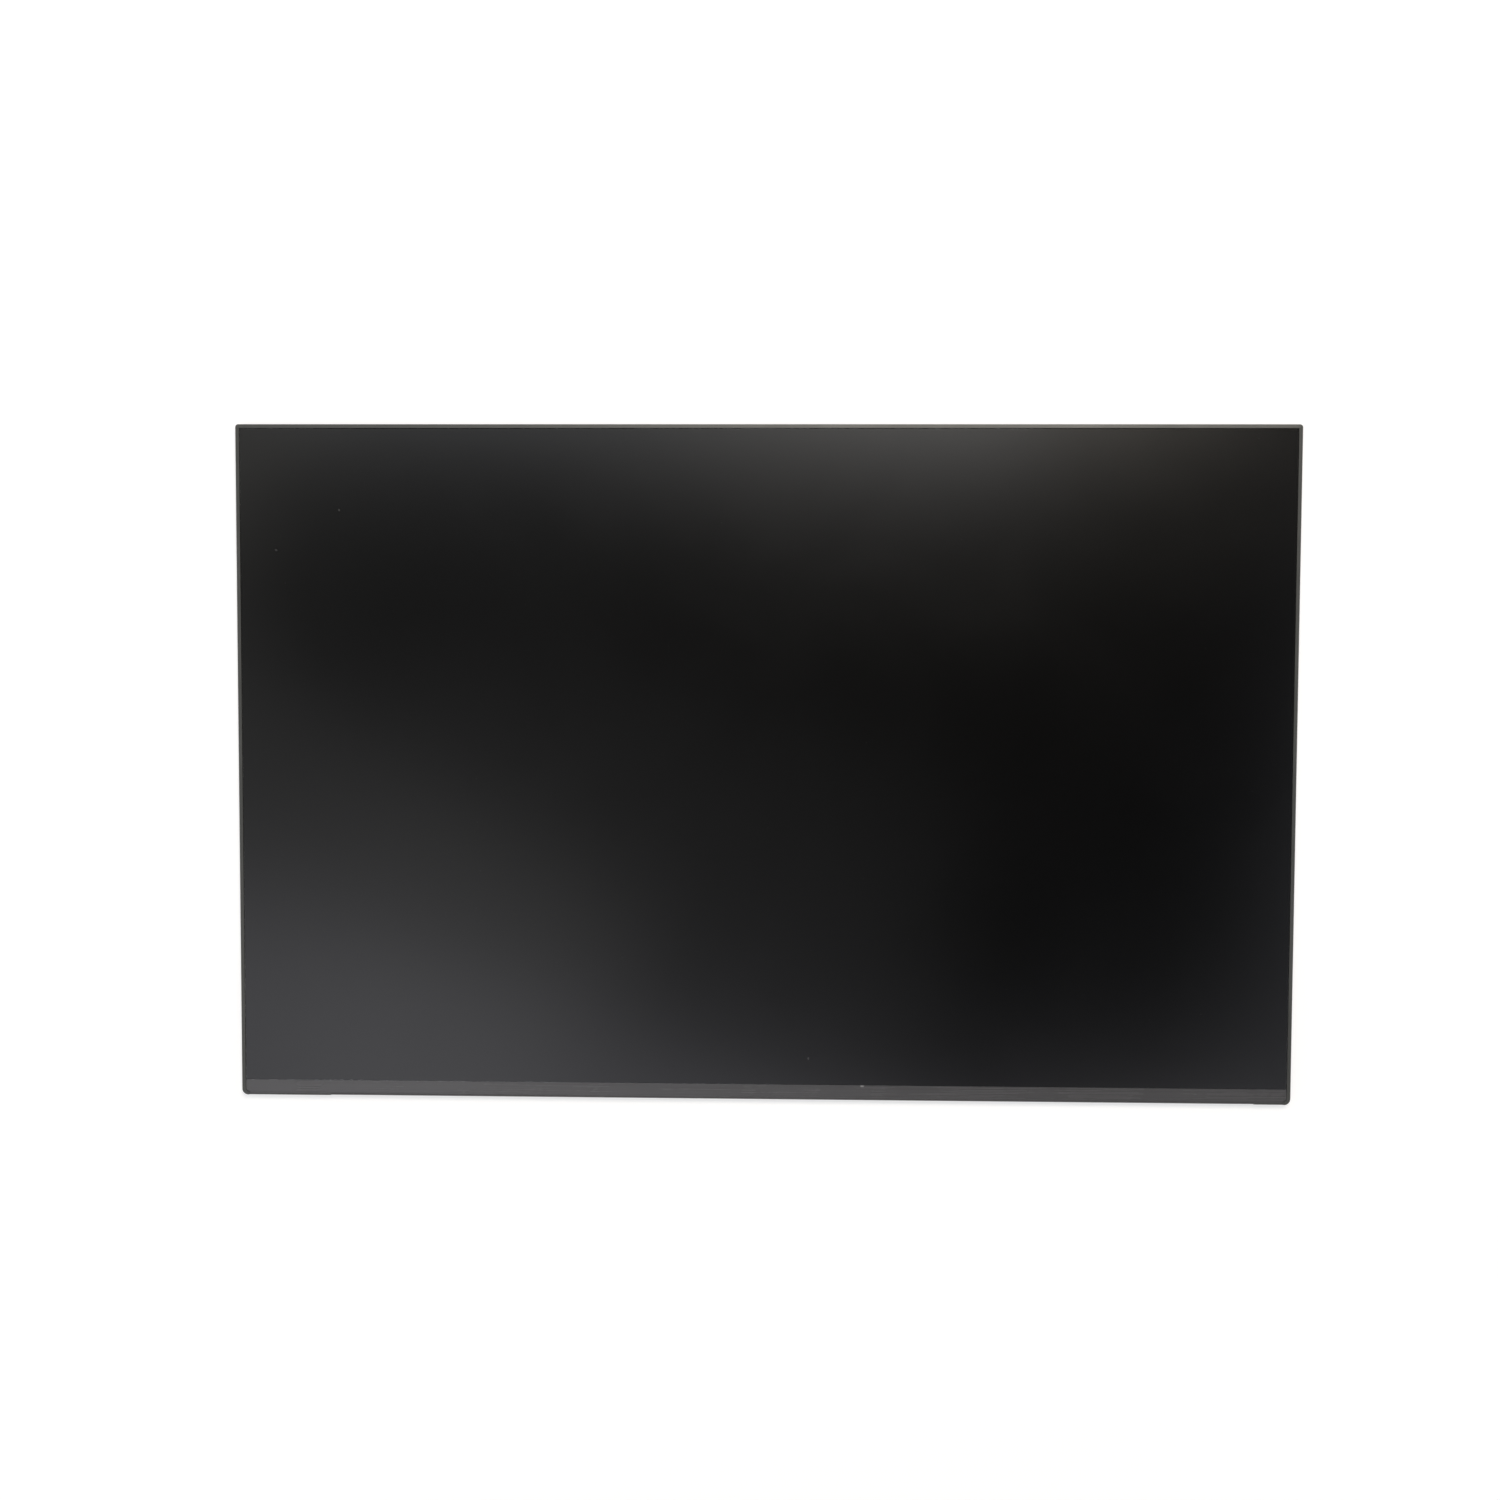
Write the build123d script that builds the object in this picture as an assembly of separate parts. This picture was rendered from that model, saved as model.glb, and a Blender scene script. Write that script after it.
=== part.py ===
from build123d import *

import os
from collections import namedtuple

# Notebook screen panel: a 14-inch, 16:10 liquid-crystal module with its backlight and drive board.
# Millimetres. +X is to the right of the picture, +Y up the picture and +Z out of the screen. The module
# lies on its back, and the origin is the centre of its outline on the surface that it lies on.

# Outline, seen from the front
WIDTH = 306.0
HEIGHT = 195.7
TOP_CORNER = 0.9
BOTTOM_CORNER = 1.8
RIM = 1.1  # moulded lip at the left, right and top of the glass
STRIP = 4.7  # taped strip below the picture
RIGHT = WIDTH / 2
TOP = HEIGHT / 2
BOTTOM = -HEIGHT / 2

# Thickness of each layer, from the back of the module to its front
CONNECTOR_DEPTH = 0.90
BOARD = 0.40
BOARD_TAPE = 0.10
COVER = 0.25
REFLECTOR = 0.15
LIGHT_GUIDE = 0.45
LOWER_DIFFUSER = 0.10
PRISM = 0.12
UPPER_DIFFUSER = 0.08
RIM_TAPE = 0.08
REAR_POLARISER = 0.12
GLASS = 0.25
FRONT_POLARISER = 0.14
RIM_DROP = 0.10  # how far the rim lies below the face
FILM = 0.06  # flexible circuits
TAPE = 0.07  # black polyester tape
FOIL = 0.05  # conductive grounding foil
FIT = 0.01  # how close a bent film lies to what it is bent round

# Levels that follow from the layers
BOARD_REAR = CONNECTOR_DEPTH
BOARD_FRONT = BOARD_REAR + BOARD
COVER_REAR = BOARD_FRONT + BOARD_TAPE
FLOOR = COVER_REAR + COVER
GUIDE_REAR = FLOOR + REFLECTOR
GUIDE_FRONT = GUIDE_REAR + LIGHT_GUIDE
LOWER_PRISM_REAR = GUIDE_FRONT + LOWER_DIFFUSER
UPPER_PRISM_REAR = LOWER_PRISM_REAR + PRISM
UPPER_DIFFUSER_REAR = UPPER_PRISM_REAR + PRISM
LEDGE = UPPER_DIFFUSER_REAR + UPPER_DIFFUSER
CELL_REAR = LEDGE + RIM_TAPE
ARRAY_REAR = CELL_REAR + REAR_POLARISER
ARRAY_FRONT = ARRAY_REAR + GLASS
FILTER_FRONT = ARRAY_FRONT + GLASS
FACE = FILTER_FRONT + FRONT_POLARISER
RIM_TOP = FACE - RIM_DROP

# Liquid-crystal cell
GLASS_GAP = 0.15  # between the glass and the moulded lip
GLASS_RIGHT = RIGHT - RIM - GLASS_GAP
GLASS_TOP = TOP - RIM - GLASS_GAP
GLASS_CORNER = 0.4  # ground corner of the glass sheets
POLARISER_INSET = 0.1
PICTURE_LOW = BOTTOM + STRIP
FILTER_LOW = PICTURE_LOW - POLARISER_INSET
BARE_EDGE = 3.1  # edge of the array glass that carries the driver films
ARRAY_LOW = FILTER_LOW - BARE_EDGE

# Bottom edge: the driver films and the tape are wrapped round the frame's nose
NOSE_MARGIN = 0.03  # between the tape and the outline
NOSE = BOTTOM + NOSE_MARGIN + TAPE + FIT + FILM + FIT
NOSE_RADIUS = 0.8
NOSE_TOP = ARRAY_FRONT - 2 * FIT
BEND = 0.7  # inner bend of the films and the tape

# Back cover, stamped and folded from aluminium sheet
COVER_SETBACK = 0.22
COVER_LOW = NOSE + COVER_SETBACK
COVER_CORNER = 2.0  # rounded bottom corners of its floor
WALL_TOP = COVER_REAR + 1.20
FOLD = 0.35  # outer radius of its folded edges
CORNER_RELIEF = 2.4
FIELD_RIGHT = 140.0
FIELD_TOP = 88.0
FIELD_LOW = -68.0
FIELD_RISE = 0.20
FIELD_CORNER = 6.0
FIELD_SLOPE = 45.0
TAB_CENTRES = (-139.0, -66.0, 0.0, 139.0)
TAB_LENGTH = 12.0
TAB_TOP = COVER_REAR + 1.05
TAB_RELIEF = 2 * FOLD

# Moulded frame
PLAY = 0.05  # small gap between the frame and what is next to it
WALL_GAP = 0.03  # between the frame and the cover's folded walls
LEDGE_WIDTH = 0.55  # step that carries the edge of the cell
WINDOW_RIGHT = RIGHT - RIM - LEDGE_WIDTH
WINDOW_TOP = TOP - RIM - LEDGE_WIDTH
LIP_REAR = WALL_TOP + PLAY
LIP_END = RIGHT - 2.0  # where the lip ends along the bottom
BOTTOM_WALL_INNER = ARRAY_LOW - GLASS_GAP
SHADE_EDGE = -93.9  # inner edge of the flange that shades the lamps
SHADE_REAR = GUIDE_FRONT + 0.07
RIM_BREAK = 0.2
HOOK_LENGTH = 6.0
HOOK_PROUD = 0.2
HOOK_LAND = 0.1
HOOK_LOW = COVER_REAR + 0.60
HOOK_HIGH = COVER_REAR + 1.02
HOOK_SIDE_PLACES = (-70.0, -25.0, 20.0, 65.0)
HOOK_TOP_PLACES = (-120.0, -72.0, -24.0, 24.0, 72.0, 120.0)
HOOK_PLAY = 0.3  # room for a hook or tab along the edge

# Optical sheets
SHEET_INSET = 0.20
GUIDE_INSET = 0.30
REFLECTOR_INSET = 0.16
SHEET_LOW = -93.5
EAR_PLACES = (-48.0, 62.0)
EAR_LENGTH = 6.0
EAR_REACH = 0.5
EAR_PLAY = 0.1
RIM_TAPE_SETBACK = 0.1
RIM_TAPE_OVERLAP = 0.4

# Lamps and their flexible circuit
LAMP_COUNT = 36
LAMP_PITCH = 8.0
LAMP_LENGTH = 3.8
LAMP_DEPTH = 0.75
LAMP_HEIGHT = 0.42
LAMP_FRONT = SHEET_LOW - 0.07
LAMP_WINDOW_LENGTH = 3.0
LAMP_WINDOW_HEIGHT = 0.28
LAMP_WINDOW_DEPTH = 0.12
LAMP_STRIP_RIGHT = 148.0
LAMP_STRIP_LOW = BOTTOM_WALL_INNER + 0.3
LAMP_STRIP_HIGH = SHEET_LOW - PLAY
TAIL_CENTRE = 66.0
TAIL_WIDTH = 8.0
TAIL_BEND = 0.4
TAIL_SLACK = 0.2  # how far the tail's turn stays inside the nose
TAIL_ROOM = 0.5  # notches for the tail are this much wider and deeper

# Driver films and their chips
FILM_CENTRES = (-99.0, -33.0, 33.0, 99.0)
FILM_WIDTH = 42.0
FILM_BOND = 1.35  # width of the bond on the array glass
FILM_END = -90.5
DRIVER_LENGTH = 24.0
DRIVER_WIDTH = 1.2
DRIVER_HEIGHT = 0.3
DRIVER_CENTRE = -95.0

# Bottom tape: its strip lies on the front, and its middle is wrapped round the nose to the back
TAPE_START = FILTER_LOW - PLAY
TAPE_RIGHT = RIGHT - RIM - 0.1
TAPE_SHOULDER = BOTTOM + RIM + 0.1
TAPE_CORNER = 0.6
TAPE_FOOT = NOSE + 0.37
TAPE_FOOT_RIGHT = LIP_END - 0.1
TAPE_WRAP_LEFT = -126.8
TAPE_WRAP_RIGHT = 142.5
TAPE_SLIT = (127.9, 128.4)  # between the flap on the board and the flap on the cover
TAPE_SLIT_TOP = 2.0
TAPE_FLAP_END = -89.6
TAPE_SIDE_FLAP_END = -93.0

# Drive board
BOARD_RIGHT = 128.0
BOARD_LOW = -92.0
BOARD_TOP = -83.0
BOARD_HEAD_LEFT = -112.0
BOARD_HEAD_RIGHT = -8.0
BOARD_HEAD_TOP = -78.5
BOARD_CORNER = 0.8
BOARD_TAPE_SETBACK = 0.5
FOIL_ON_BOARD = 7.0
FOIL_ON_COVER = 9.0
FOIL_LOW = -88.4
FOIL_HIGH = -84.2
FOIL_STEP = 0.1  # between the board's end and the foil's step down to the cover

# Signal connector, opening up the picture
CONNECTOR_X = -92.0
CONNECTOR_WIDTH = 22.0
CONNECTOR_LOW = -83.2
SHELL_SHEET = 0.12
SHELL_EAR_REACH = 1.4
SHELL_EAR_WIDTH = 2.0
SHELL_EAR_INSET = 0.25
LATCH_PLACES = (-6.6, 0.0, 6.6)
LATCH_LENGTH = 3.0
LATCH_SPAN = (1.3, 2.2)  # how far behind the mouth a latch window starts and ends
CONTACT_COUNT = 30
CONTACT_PITCH = 0.5
CONTACT_WIDTH = 0.2
CONTACT = 0.06
CONTACT_DROP = 0.7  # behind the front of the block
CONTACT_FOOT = 0.5  # behind the shell
TONGUE_REAR = 0.42
TONGUE_FRONT = 0.68
TONGUE_RIGHT = 8.6
TONGUE_END = -79.2
TONGUE_BARE = 0.2  # end of the tongue past the contacts
BLOCK_RIGHT = 10.6
BLOCK_LOW = CONNECTOR_LOW + 0.1
BLOCK_HIGH = -81.9
BLOCK_REAR = SHELL_SHEET + 2 * FIT
GUIDE_POST = 1.2
GUIDE_POST_END = -78.9

# Packages on the board: the centre, the two sides and the height of each
Package = namedtuple("Package", "x y length width height")
CHIPS = {
    "timing_controller": Package(-60.0, -84.4, 8.0, 8.0, 0.75),
    "memory_chip": Package(-44.0, -81.6, 5.0, 4.0, 0.60),
    "power_manager": Package(-31.0, -85.4, 5.0, 5.0, 0.75),
    "level_shifter": Package(10.0, -86.2, 5.0, 5.0, 0.75),
    "gamma_buffer": Package(38.0, -86.2, 4.0, 4.0, 0.75),
    "backlight_driver": Package(84.0, -86.4, 4.0, 4.0, 0.75),
}
CHIP_KEY = 0.4  # cut corner that marks the first lead
INDUCTORS = (
    Package(-21.5, -82.6, 4.0, 4.0, 0.85),
    Package(-21.5, -87.2, 4.0, 4.0, 0.85),
    Package(93.0, -86.4, 5.0, 5.0, 0.85),
)
INDUCTOR_CORNER = 0.6
INDUCTOR_EDGE = 0.2
DIODES = (
    Package(-15.4, -82.0, 2.5, 1.3, 0.70),
    Package(99.5, -85.0, 2.5, 1.3, 0.70),
    Package(99.5, -87.8, 2.5, 1.3, 0.70),
)
DIODE_FOOT = 0.35
DIODE_FOOT_WIDTH = 0.6
DIODE_FOOT_HEIGHT = 0.1
DIODE_DRAFT = 8.0

# Rows of small parts: how many, the first one's place, the step to the next and the size of each
Row = namedtuple("Row", "count x y step_x step_y length width height")
CAPACITOR_ROWS = (
    Row(4, -117.6, -87.2, 2.6, 0.0, 1.6, 0.8, 0.80),
    Row(10, -97.9, -85.6, 1.3, 0.0, 0.5, 1.0, 0.50),
    Row(4, -67.0, -87.6, 0.0, 1.6, 1.0, 0.5, 0.50),
    Row(4, -53.0, -87.6, 0.0, 1.6, 1.0, 0.5, 0.50),
    Row(4, -62.4, -79.4, 1.6, 0.0, 0.5, 1.0, 0.50),
    Row(3, -36.0, -87.4, 0.0, 2.0, 1.6, 0.8, 0.80),
    Row(4, -16.4, -88.2, 0.0, 1.5, 1.6, 0.8, 0.80),
    Row(3, -8.0, -87.6, 3.0, 0.0, 2.0, 1.25, 0.85),
    Row(4, 4.2, -88.0, 0.0, 1.2, 1.0, 0.5, 0.50),
    Row(4, 16.0, -88.0, 0.0, 1.2, 1.0, 0.5, 0.50),
    Row(4, 44.5, -84.6, 2.4, 0.0, 1.6, 0.8, 0.80),
    Row(3, 104.5, -84.6, 0.0, -1.8, 2.0, 1.25, 0.85),
)
RESISTOR_ROWS = (
    Row(9, -97.2, -88.0, 1.3, 0.0, 0.5, 1.0, 0.35),
    Row(4, -48.5, -86.6, 1.4, 0.0, 0.5, 1.0, 0.35),
    Row(4, 21.0, -85.0, 1.4, 0.0, 0.5, 1.0, 0.35),
    Row(4, 21.0, -87.6, 1.4, 0.0, 0.5, 1.0, 0.35),
    Row(5, 44.5, -87.6, 1.4, 0.0, 0.5, 1.0, 0.35),
    Row(3, 76.5, -87.8, 0.0, 1.1, 1.0, 0.5, 0.35),
    Row(3, 109.5, -86.4, 1.4, 0.0, 0.5, 1.0, 0.35),
)
TERMINAL_SHARE = 0.25  # of a small part's length, at each end
TERMINAL_WRAP = 0.02  # how far a terminal stands round its body


def between(left, right, low, high):
    """A rectangle between two corners."""
    return Pos((left + right) / 2, (low + high) / 2) * Rectangle(right - left, high - low)


def plate(face, rear, front):
    """A flat sheet between two levels."""
    return extrude(Plane.XY.offset(rear) * face, front - rear)


def block(left, right, low, high, rear, front):
    """A rectangular block between two corners."""
    return plate(between(left, right, low, high), rear, front)


def ribbon(route, bend, thickness, side=Side.RIGHT):
    """Section of a bent strip, one of whose faces follows a route of corners."""
    line = FilletPolyline(*route, radius=bend) if bend else Polyline(*route)
    corners = Kind.ARC if bend else Kind.INTERSECTION
    return make_face(offset(line, thickness, side=side, kind=corners))


def bent(route, bend, thickness, left, right, side=Side.RIGHT):
    """A strip from left to right, bent along a route of (y, z) corners."""
    return extrude(Plane.YZ.offset(left) * ribbon(route, bend, thickness, side), right - left)


def outline(inset=0.0):
    """The module's outline, taken in by an inset."""
    face = between(inset - RIGHT, RIGHT - inset, BOTTOM + inset, TOP - inset)
    face = fillet(face.vertices().sort_by(Axis.Y)[2:], TOP_CORNER - inset)
    return fillet(face.vertices().sort_by(Axis.Y)[:2], BOTTOM_CORNER - inset)


def glass_sheet(low, rear, front):
    """One glass of the cell, with its corners ground off."""
    face = between(-GLASS_RIGHT, GLASS_RIGHT, low, GLASS_TOP)
    return plate(chamfer(face.vertices(), GLASS_CORNER), rear, front)


def polariser(rear, front):
    """A polarising film, set in from the edges of the glass that it is laminated to."""
    reach = GLASS_RIGHT - POLARISER_INSET
    return plate(between(-reach, reach, PICTURE_LOW, GLASS_TOP - POLARISER_INSET), rear, front)


def ears(inner, outer, length):
    """The locating ears at the left and right of an optical sheet, or the notches that take them."""
    found = Sketch()
    for height in EAR_PLACES:
        for left, right in ((inner, outer), (-outer, -inner)):
            found += between(left, right, height - length / 2, height + length / 2)
    return found


def optical_sheet(inset, rear, front):
    """A sheet of the backlight stack, inset from the frame's window and located by its ears."""
    reach = WINDOW_RIGHT - inset
    face = between(-reach, reach, SHEET_LOW, WINDOW_TOP - inset)
    return plate(face + ears(reach, reach + EAR_REACH, EAR_LENGTH), rear, front)


def rim_tape():
    """Black double-sided tape that holds the cell to the frame and covers the sheets' edges."""
    outer_right = GLASS_RIGHT - RIM_TAPE_SETBACK
    outer = between(-outer_right, outer_right, ARRAY_LOW + RIM_TAPE_SETBACK, GLASS_TOP - RIM_TAPE_SETBACK)
    inner_right = WINDOW_RIGHT - RIM_TAPE_OVERLAP
    inner = between(-inner_right, inner_right, SHEET_LOW + RIM_TAPE_OVERLAP, WINDOW_TOP - RIM_TAPE_OVERLAP)
    return plate(outer - inner, LEDGE, CELL_REAR)


def hook():
    """A snap hook that points along +X, with its sloped side towards the back."""
    corners = [(0, HOOK_LOW), (HOOK_PROUD, HOOK_HIGH - HOOK_LAND), (HOOK_PROUD, HOOK_HIGH), (0, HOOK_HIGH)]
    return extrude(Plane.XZ * make_face(Polyline(*corners, close=True)), HOOK_LENGTH / 2, both=True)


def hook_places():
    """Where the hooks and their windows are, each with +X pointing out of the module's side."""
    found = []
    for height in HOOK_SIDE_PLACES:
        found.append(Pos(RIGHT, height, 0))
        found.append(Pos(-RIGHT, height, 0) * Rot(Z=180))
    for place in HOOK_TOP_PLACES:
        found.append(Pos(place, TOP, 0) * Rot(Z=90))
    return found


def frame_ring():
    """Lower part of the frame, inside the cover's walls, with notches for the sheets' ears."""
    ring = plate(outline(COVER + WALL_GAP), FLOOR, LEDGE)
    ring = chamfer(ring.edges().group_by(Axis.Z)[0], FOLD - COVER)
    window = between(-WINDOW_RIGHT, WINDOW_RIGHT, BOTTOM_WALL_INNER, WINDOW_TOP)
    window += ears(WINDOW_RIGHT - EAR_PLAY, WINDOW_RIGHT + EAR_REACH + EAR_PLAY, EAR_LENGTH + 4 * EAR_PLAY)
    return ring - plate(window, FLOOR, LEDGE)


def frame_lip():
    """Lip round the glass, over the top of the cover's walls, with its front edge broken."""
    lip = plate(outline(), LIP_REAR, RIM_TOP)
    lip = chamfer(lip.edges().group_by(Axis.Z)[-1], RIM_BREAK)
    pocket = between(RIM - RIGHT, RIGHT - RIM, BOTTOM + RIM, TOP - RIM)
    pocket = fillet(pocket.vertices().sort_by(Axis.Y)[:2], BOTTOM_CORNER - RIM)
    return lip - plate(pocket, LIP_REAR, RIM_TOP)


def frame_nose():
    """Bottom wall of the frame, rounded for the films, with the flange that shades the lamps."""
    section = between(NOSE, BOTTOM_WALL_INNER, FLOOR, NOSE_TOP)
    section = fillet(section.vertices().sort_by(Axis.X)[:2].sort_by(Axis.Y)[-1], NOSE_RADIUS)
    nose = extrude(Plane.YZ * section, LIP_END, both=True)
    nose += block(-WINDOW_RIGHT, WINDOW_RIGHT, BOTTOM_WALL_INNER, SHADE_EDGE, SHADE_REAR, LEDGE)
    for left, right in ((-LIP_END, TAPE_WRAP_LEFT - PLAY), (TAPE_WRAP_RIGHT + PLAY, LIP_END)):
        bare_end = block(left, right, BOTTOM, NOSE + NOSE_RADIUS, LIP_REAR, NOSE_TOP)
        front_edge = bare_end.edges().filter_by(Axis.X).group_by(Axis.Y)[0].sort_by(Axis.Z)[-1]
        nose += chamfer(front_edge, RIM_BREAK)
    return nose


def mould_frame():
    """Black moulded frame: it carries the cell, holds the sheets and shades the lamps."""
    frame = frame_ring() + frame_lip()
    frame -= block(-LIP_END, LIP_END, BOTTOM, BOTTOM_WALL_INNER, FLOOR, RIM_TOP)
    frame += frame_nose()
    reach = TAB_LENGTH / 2 + HOOK_PLAY
    for tab in TAB_CENTRES:
        frame -= block(tab - reach, tab + reach, NOSE, COVER_LOW + FOLD + WALL_GAP, FLOOR, TAB_TOP + PLAY)
    reach = TAIL_WIDTH / 2 + TAIL_ROOM
    frame -= block(TAIL_CENTRE - reach, TAIL_CENTRE + reach, NOSE, BOTTOM_WALL_INNER,
                   FLOOR, GUIDE_REAR + 2 * FILM)
    for place in hook_places():
        frame += place * Pos(-COVER - WALL_GAP, 0, 0) * hook()
    return frame


def cover_tray():
    """Folded tray of the back cover: floor and walls, open at the bottom, with relieved corners."""
    tray = block(-RIGHT, RIGHT, COVER_LOW, TOP, COVER_REAR, WALL_TOP)
    tray = fillet(tray.edges().group_by(Axis.Z)[0].sort_by(Axis.Y)[1:], FOLD)
    inside = block(COVER - RIGHT, RIGHT - COVER, COVER_LOW, TOP - COVER, FLOOR, WALL_TOP)
    tray -= fillet(inside.edges().group_by(Axis.Z)[0].sort_by(Axis.Y)[1:], FOLD - COVER)
    relief = Box(2 * CORNER_RELIEF, 2 * CORNER_RELIEF, 2 * (WALL_TOP - COVER_REAR))
    for corner in (RIGHT, -RIGHT):
        for end in (TOP, COVER_LOW):
            tray -= Pos(corner, end, COVER_REAR) * relief
    floor = between(FOLD - RIGHT, RIGHT - FOLD, COVER_LOW, TOP - FOLD)
    floor = fillet(floor.vertices().sort_by(Axis.Y)[2:], TOP_CORNER)
    floor = fillet(floor.vertices().sort_by(Axis.Y)[:2], COVER_CORNER)
    return tray + plate(floor, COVER_REAR, FLOOR)


def back_cover():
    """Aluminium back cover: tray with snap windows, bottom tabs and a raised bonding field."""
    tray = cover_tray()
    window = Box(3 * COVER, HOOK_LENGTH + 2 * HOOK_PLAY, HOOK_HIGH - HOOK_LOW + 2 * PLAY)
    for place in hook_places():
        tray -= place * Pos(0, 0, (HOOK_LOW + HOOK_HIGH) / 2) * window
    reach = TAB_LENGTH / 2 + HOOK_PLAY
    for tab in TAB_CENTRES:
        tray -= block(tab - reach, tab + reach, COVER_LOW, COVER_LOW + TAB_RELIEF, COVER_REAR, FLOOR)
        tray += cover_tab(tab)
    reach = TAIL_WIDTH / 2 + 2 * TAIL_ROOM
    tray -= block(TAIL_CENTRE - reach, TAIL_CENTRE + reach, COVER_LOW, COVER_LOW + TAIL_ROOM,
                  COVER_REAR, FLOOR)
    field = between(-FIELD_RIGHT, FIELD_RIGHT, FIELD_LOW, FIELD_TOP)
    field = fillet(field.vertices(), FIELD_CORNER)
    tray += extrude(Plane.XY.offset(COVER_REAR) * field, FIELD_RISE, dir=(0, 0, -1), taper=FIELD_SLOPE)
    recess = offset(field, -(2 ** 0.5 - 1) * COVER)  # keeps the sheet's thickness along a 45-degree slope
    return tray - extrude(Plane.XY.offset(FLOOR) * recess, FIELD_RISE, dir=(0, 0, -1), taper=FIELD_SLOPE)


def cover_tab(centre):
    """One tab folded up at the bottom edge of the back cover."""
    route = [(COVER_LOW + 2 * TAB_RELIEF, COVER_REAR), (COVER_LOW, COVER_REAR), (COVER_LOW, TAB_TOP)]
    return bent(route, FOLD, COVER, centre - TAB_LENGTH / 2, centre + TAB_LENGTH / 2)


def lamps():
    """White light-emitting diodes in a row, each with the window that faces the light guide."""
    lamp = block(-LAMP_LENGTH / 2, LAMP_LENGTH / 2, LAMP_FRONT - LAMP_DEPTH, LAMP_FRONT,
                 GUIDE_REAR, GUIDE_REAR + LAMP_HEIGHT)
    window = Box(LAMP_WINDOW_LENGTH, 2 * LAMP_WINDOW_DEPTH, LAMP_WINDOW_HEIGHT)
    lamp -= Pos(0, LAMP_FRONT, GUIDE_REAR + LAMP_HEIGHT / 2) * window
    first = -(LAMP_COUNT - 1) / 2 * LAMP_PITCH
    return Compound([Pos(first + i * LAMP_PITCH, 0, 0) * lamp for i in range(LAMP_COUNT)])


def lamp_strip_tape():
    """Adhesive that fixes the lamps' flexible circuit to the floor of the back cover."""
    return block(-LAMP_STRIP_RIGHT, LAMP_STRIP_RIGHT, LAMP_STRIP_LOW, LAMP_STRIP_HIGH,
                 FLOOR, GUIDE_REAR - FILM)


def lamp_strip():
    """Flexible circuit of the lamps, with the tail that turns round to the drive board."""
    rear = GUIDE_REAR - FILM
    strip = block(-LAMP_STRIP_RIGHT, LAMP_STRIP_RIGHT, LAMP_STRIP_LOW, LAMP_STRIP_HIGH, rear, GUIDE_REAR)
    start = (LAMP_STRIP_LOW + LAMP_STRIP_HIGH) / 2
    turn = NOSE + FILM + TAIL_SLACK
    route = [(start, rear), (turn, rear), (turn, BOARD_REAR), (FILM_END, BOARD_REAR)]
    return strip + bent(route, TAIL_BEND, FILM, TAIL_CENTRE - TAIL_WIDTH / 2, TAIL_CENTRE + TAIL_WIDTH / 2)


def driver_film(centre):
    """Film that carries one driver chip, from the array glass round the nose to the drive board."""
    face = NOSE - FIT
    route = [(ARRAY_LOW + FILM_BOND, ARRAY_FRONT), (face, ARRAY_FRONT), (face, BOARD_REAR),
             (FILM_END, BOARD_REAR)]
    return bent(route, BEND, FILM, centre - FILM_WIDTH / 2, centre + FILM_WIDTH / 2)


def driver_chip(centre):
    """Driver chip, bonded to the side of its film that faces the back cover."""
    die = Box(DRIVER_LENGTH, DRIVER_WIDTH, DRIVER_HEIGHT)
    return Pos(centre, DRIVER_CENTRE, BOARD_REAR + DRIVER_HEIGHT / 2) * die


def bottom_tape():
    """Black tape over the bottom strip, wrapped round the nose and slit into two flaps at the back."""
    front = ARRAY_FRONT + FILM
    face = NOSE - 2 * FIT - FILM
    strip = between(-TAPE_RIGHT, TAPE_RIGHT, TAPE_SHOULDER, TAPE_START)
    strip = fillet(strip.vertices().sort_by(Axis.Y)[:2], TAPE_CORNER)
    for left, right in ((-TAPE_FOOT_RIGHT, TAPE_WRAP_LEFT), (TAPE_WRAP_RIGHT, TAPE_FOOT_RIGHT)):
        strip += between(left, right, TAPE_FOOT, TAPE_START)
    tape = plate(strip, front, front + TAPE)
    tape += bent([(TAPE_START, front), (face, front), (face, TAPE_SLIT_TOP)], BEND, TAPE,
                 TAPE_WRAP_LEFT, TAPE_WRAP_RIGHT)
    flaps = (
        (TAPE_WRAP_LEFT, TAPE_SLIT[0], BOARD_REAR - FILM - FIT, TAPE_FLAP_END, BEND),
        (TAPE_SLIT[1], TAPE_WRAP_RIGHT, COVER_REAR, TAPE_SIDE_FLAP_END, FOLD),
    )
    for left, right, level, end, bend in flaps:
        tape += bent([(face, TAPE_SLIT_TOP), (face, level), (end, level)], bend, TAPE, left, right)
    return tape


def circuit_board():
    """Drive board, with a taller head for the connector and the timing controller."""
    face = between(-BOARD_RIGHT, BOARD_RIGHT, BOARD_LOW, BOARD_TOP)
    face += between(BOARD_HEAD_LEFT, BOARD_HEAD_RIGHT, BOARD_LOW, BOARD_HEAD_TOP)
    return plate(fillet(face.vertices(), BOARD_CORNER), BOARD_REAR, BOARD_FRONT)


def board_tape():
    """Double-sided tape between the drive board and the back cover."""
    reach = BOARD_RIGHT - BOARD_TAPE_SETBACK
    return block(-reach, reach, BOARD_LOW + BOARD_TAPE_SETBACK, BOARD_TOP - BOARD_TAPE_SETBACK,
                 BOARD_FRONT, COVER_REAR)


def ground_foil():
    """Conductive foil from the board's ground at its right end to the back cover."""
    step = BOARD_RIGHT + FOIL_STEP
    route = [(BOARD_RIGHT - FOIL_ON_BOARD, BOARD_REAR), (step, BOARD_REAR), (step, COVER_REAR),
             (step + FOIL_ON_COVER, COVER_REAR)]
    return extrude(Plane.XZ.offset(-FOIL_HIGH) * ribbon(route, 0, FOIL), FOIL_HIGH - FOIL_LOW)


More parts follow.
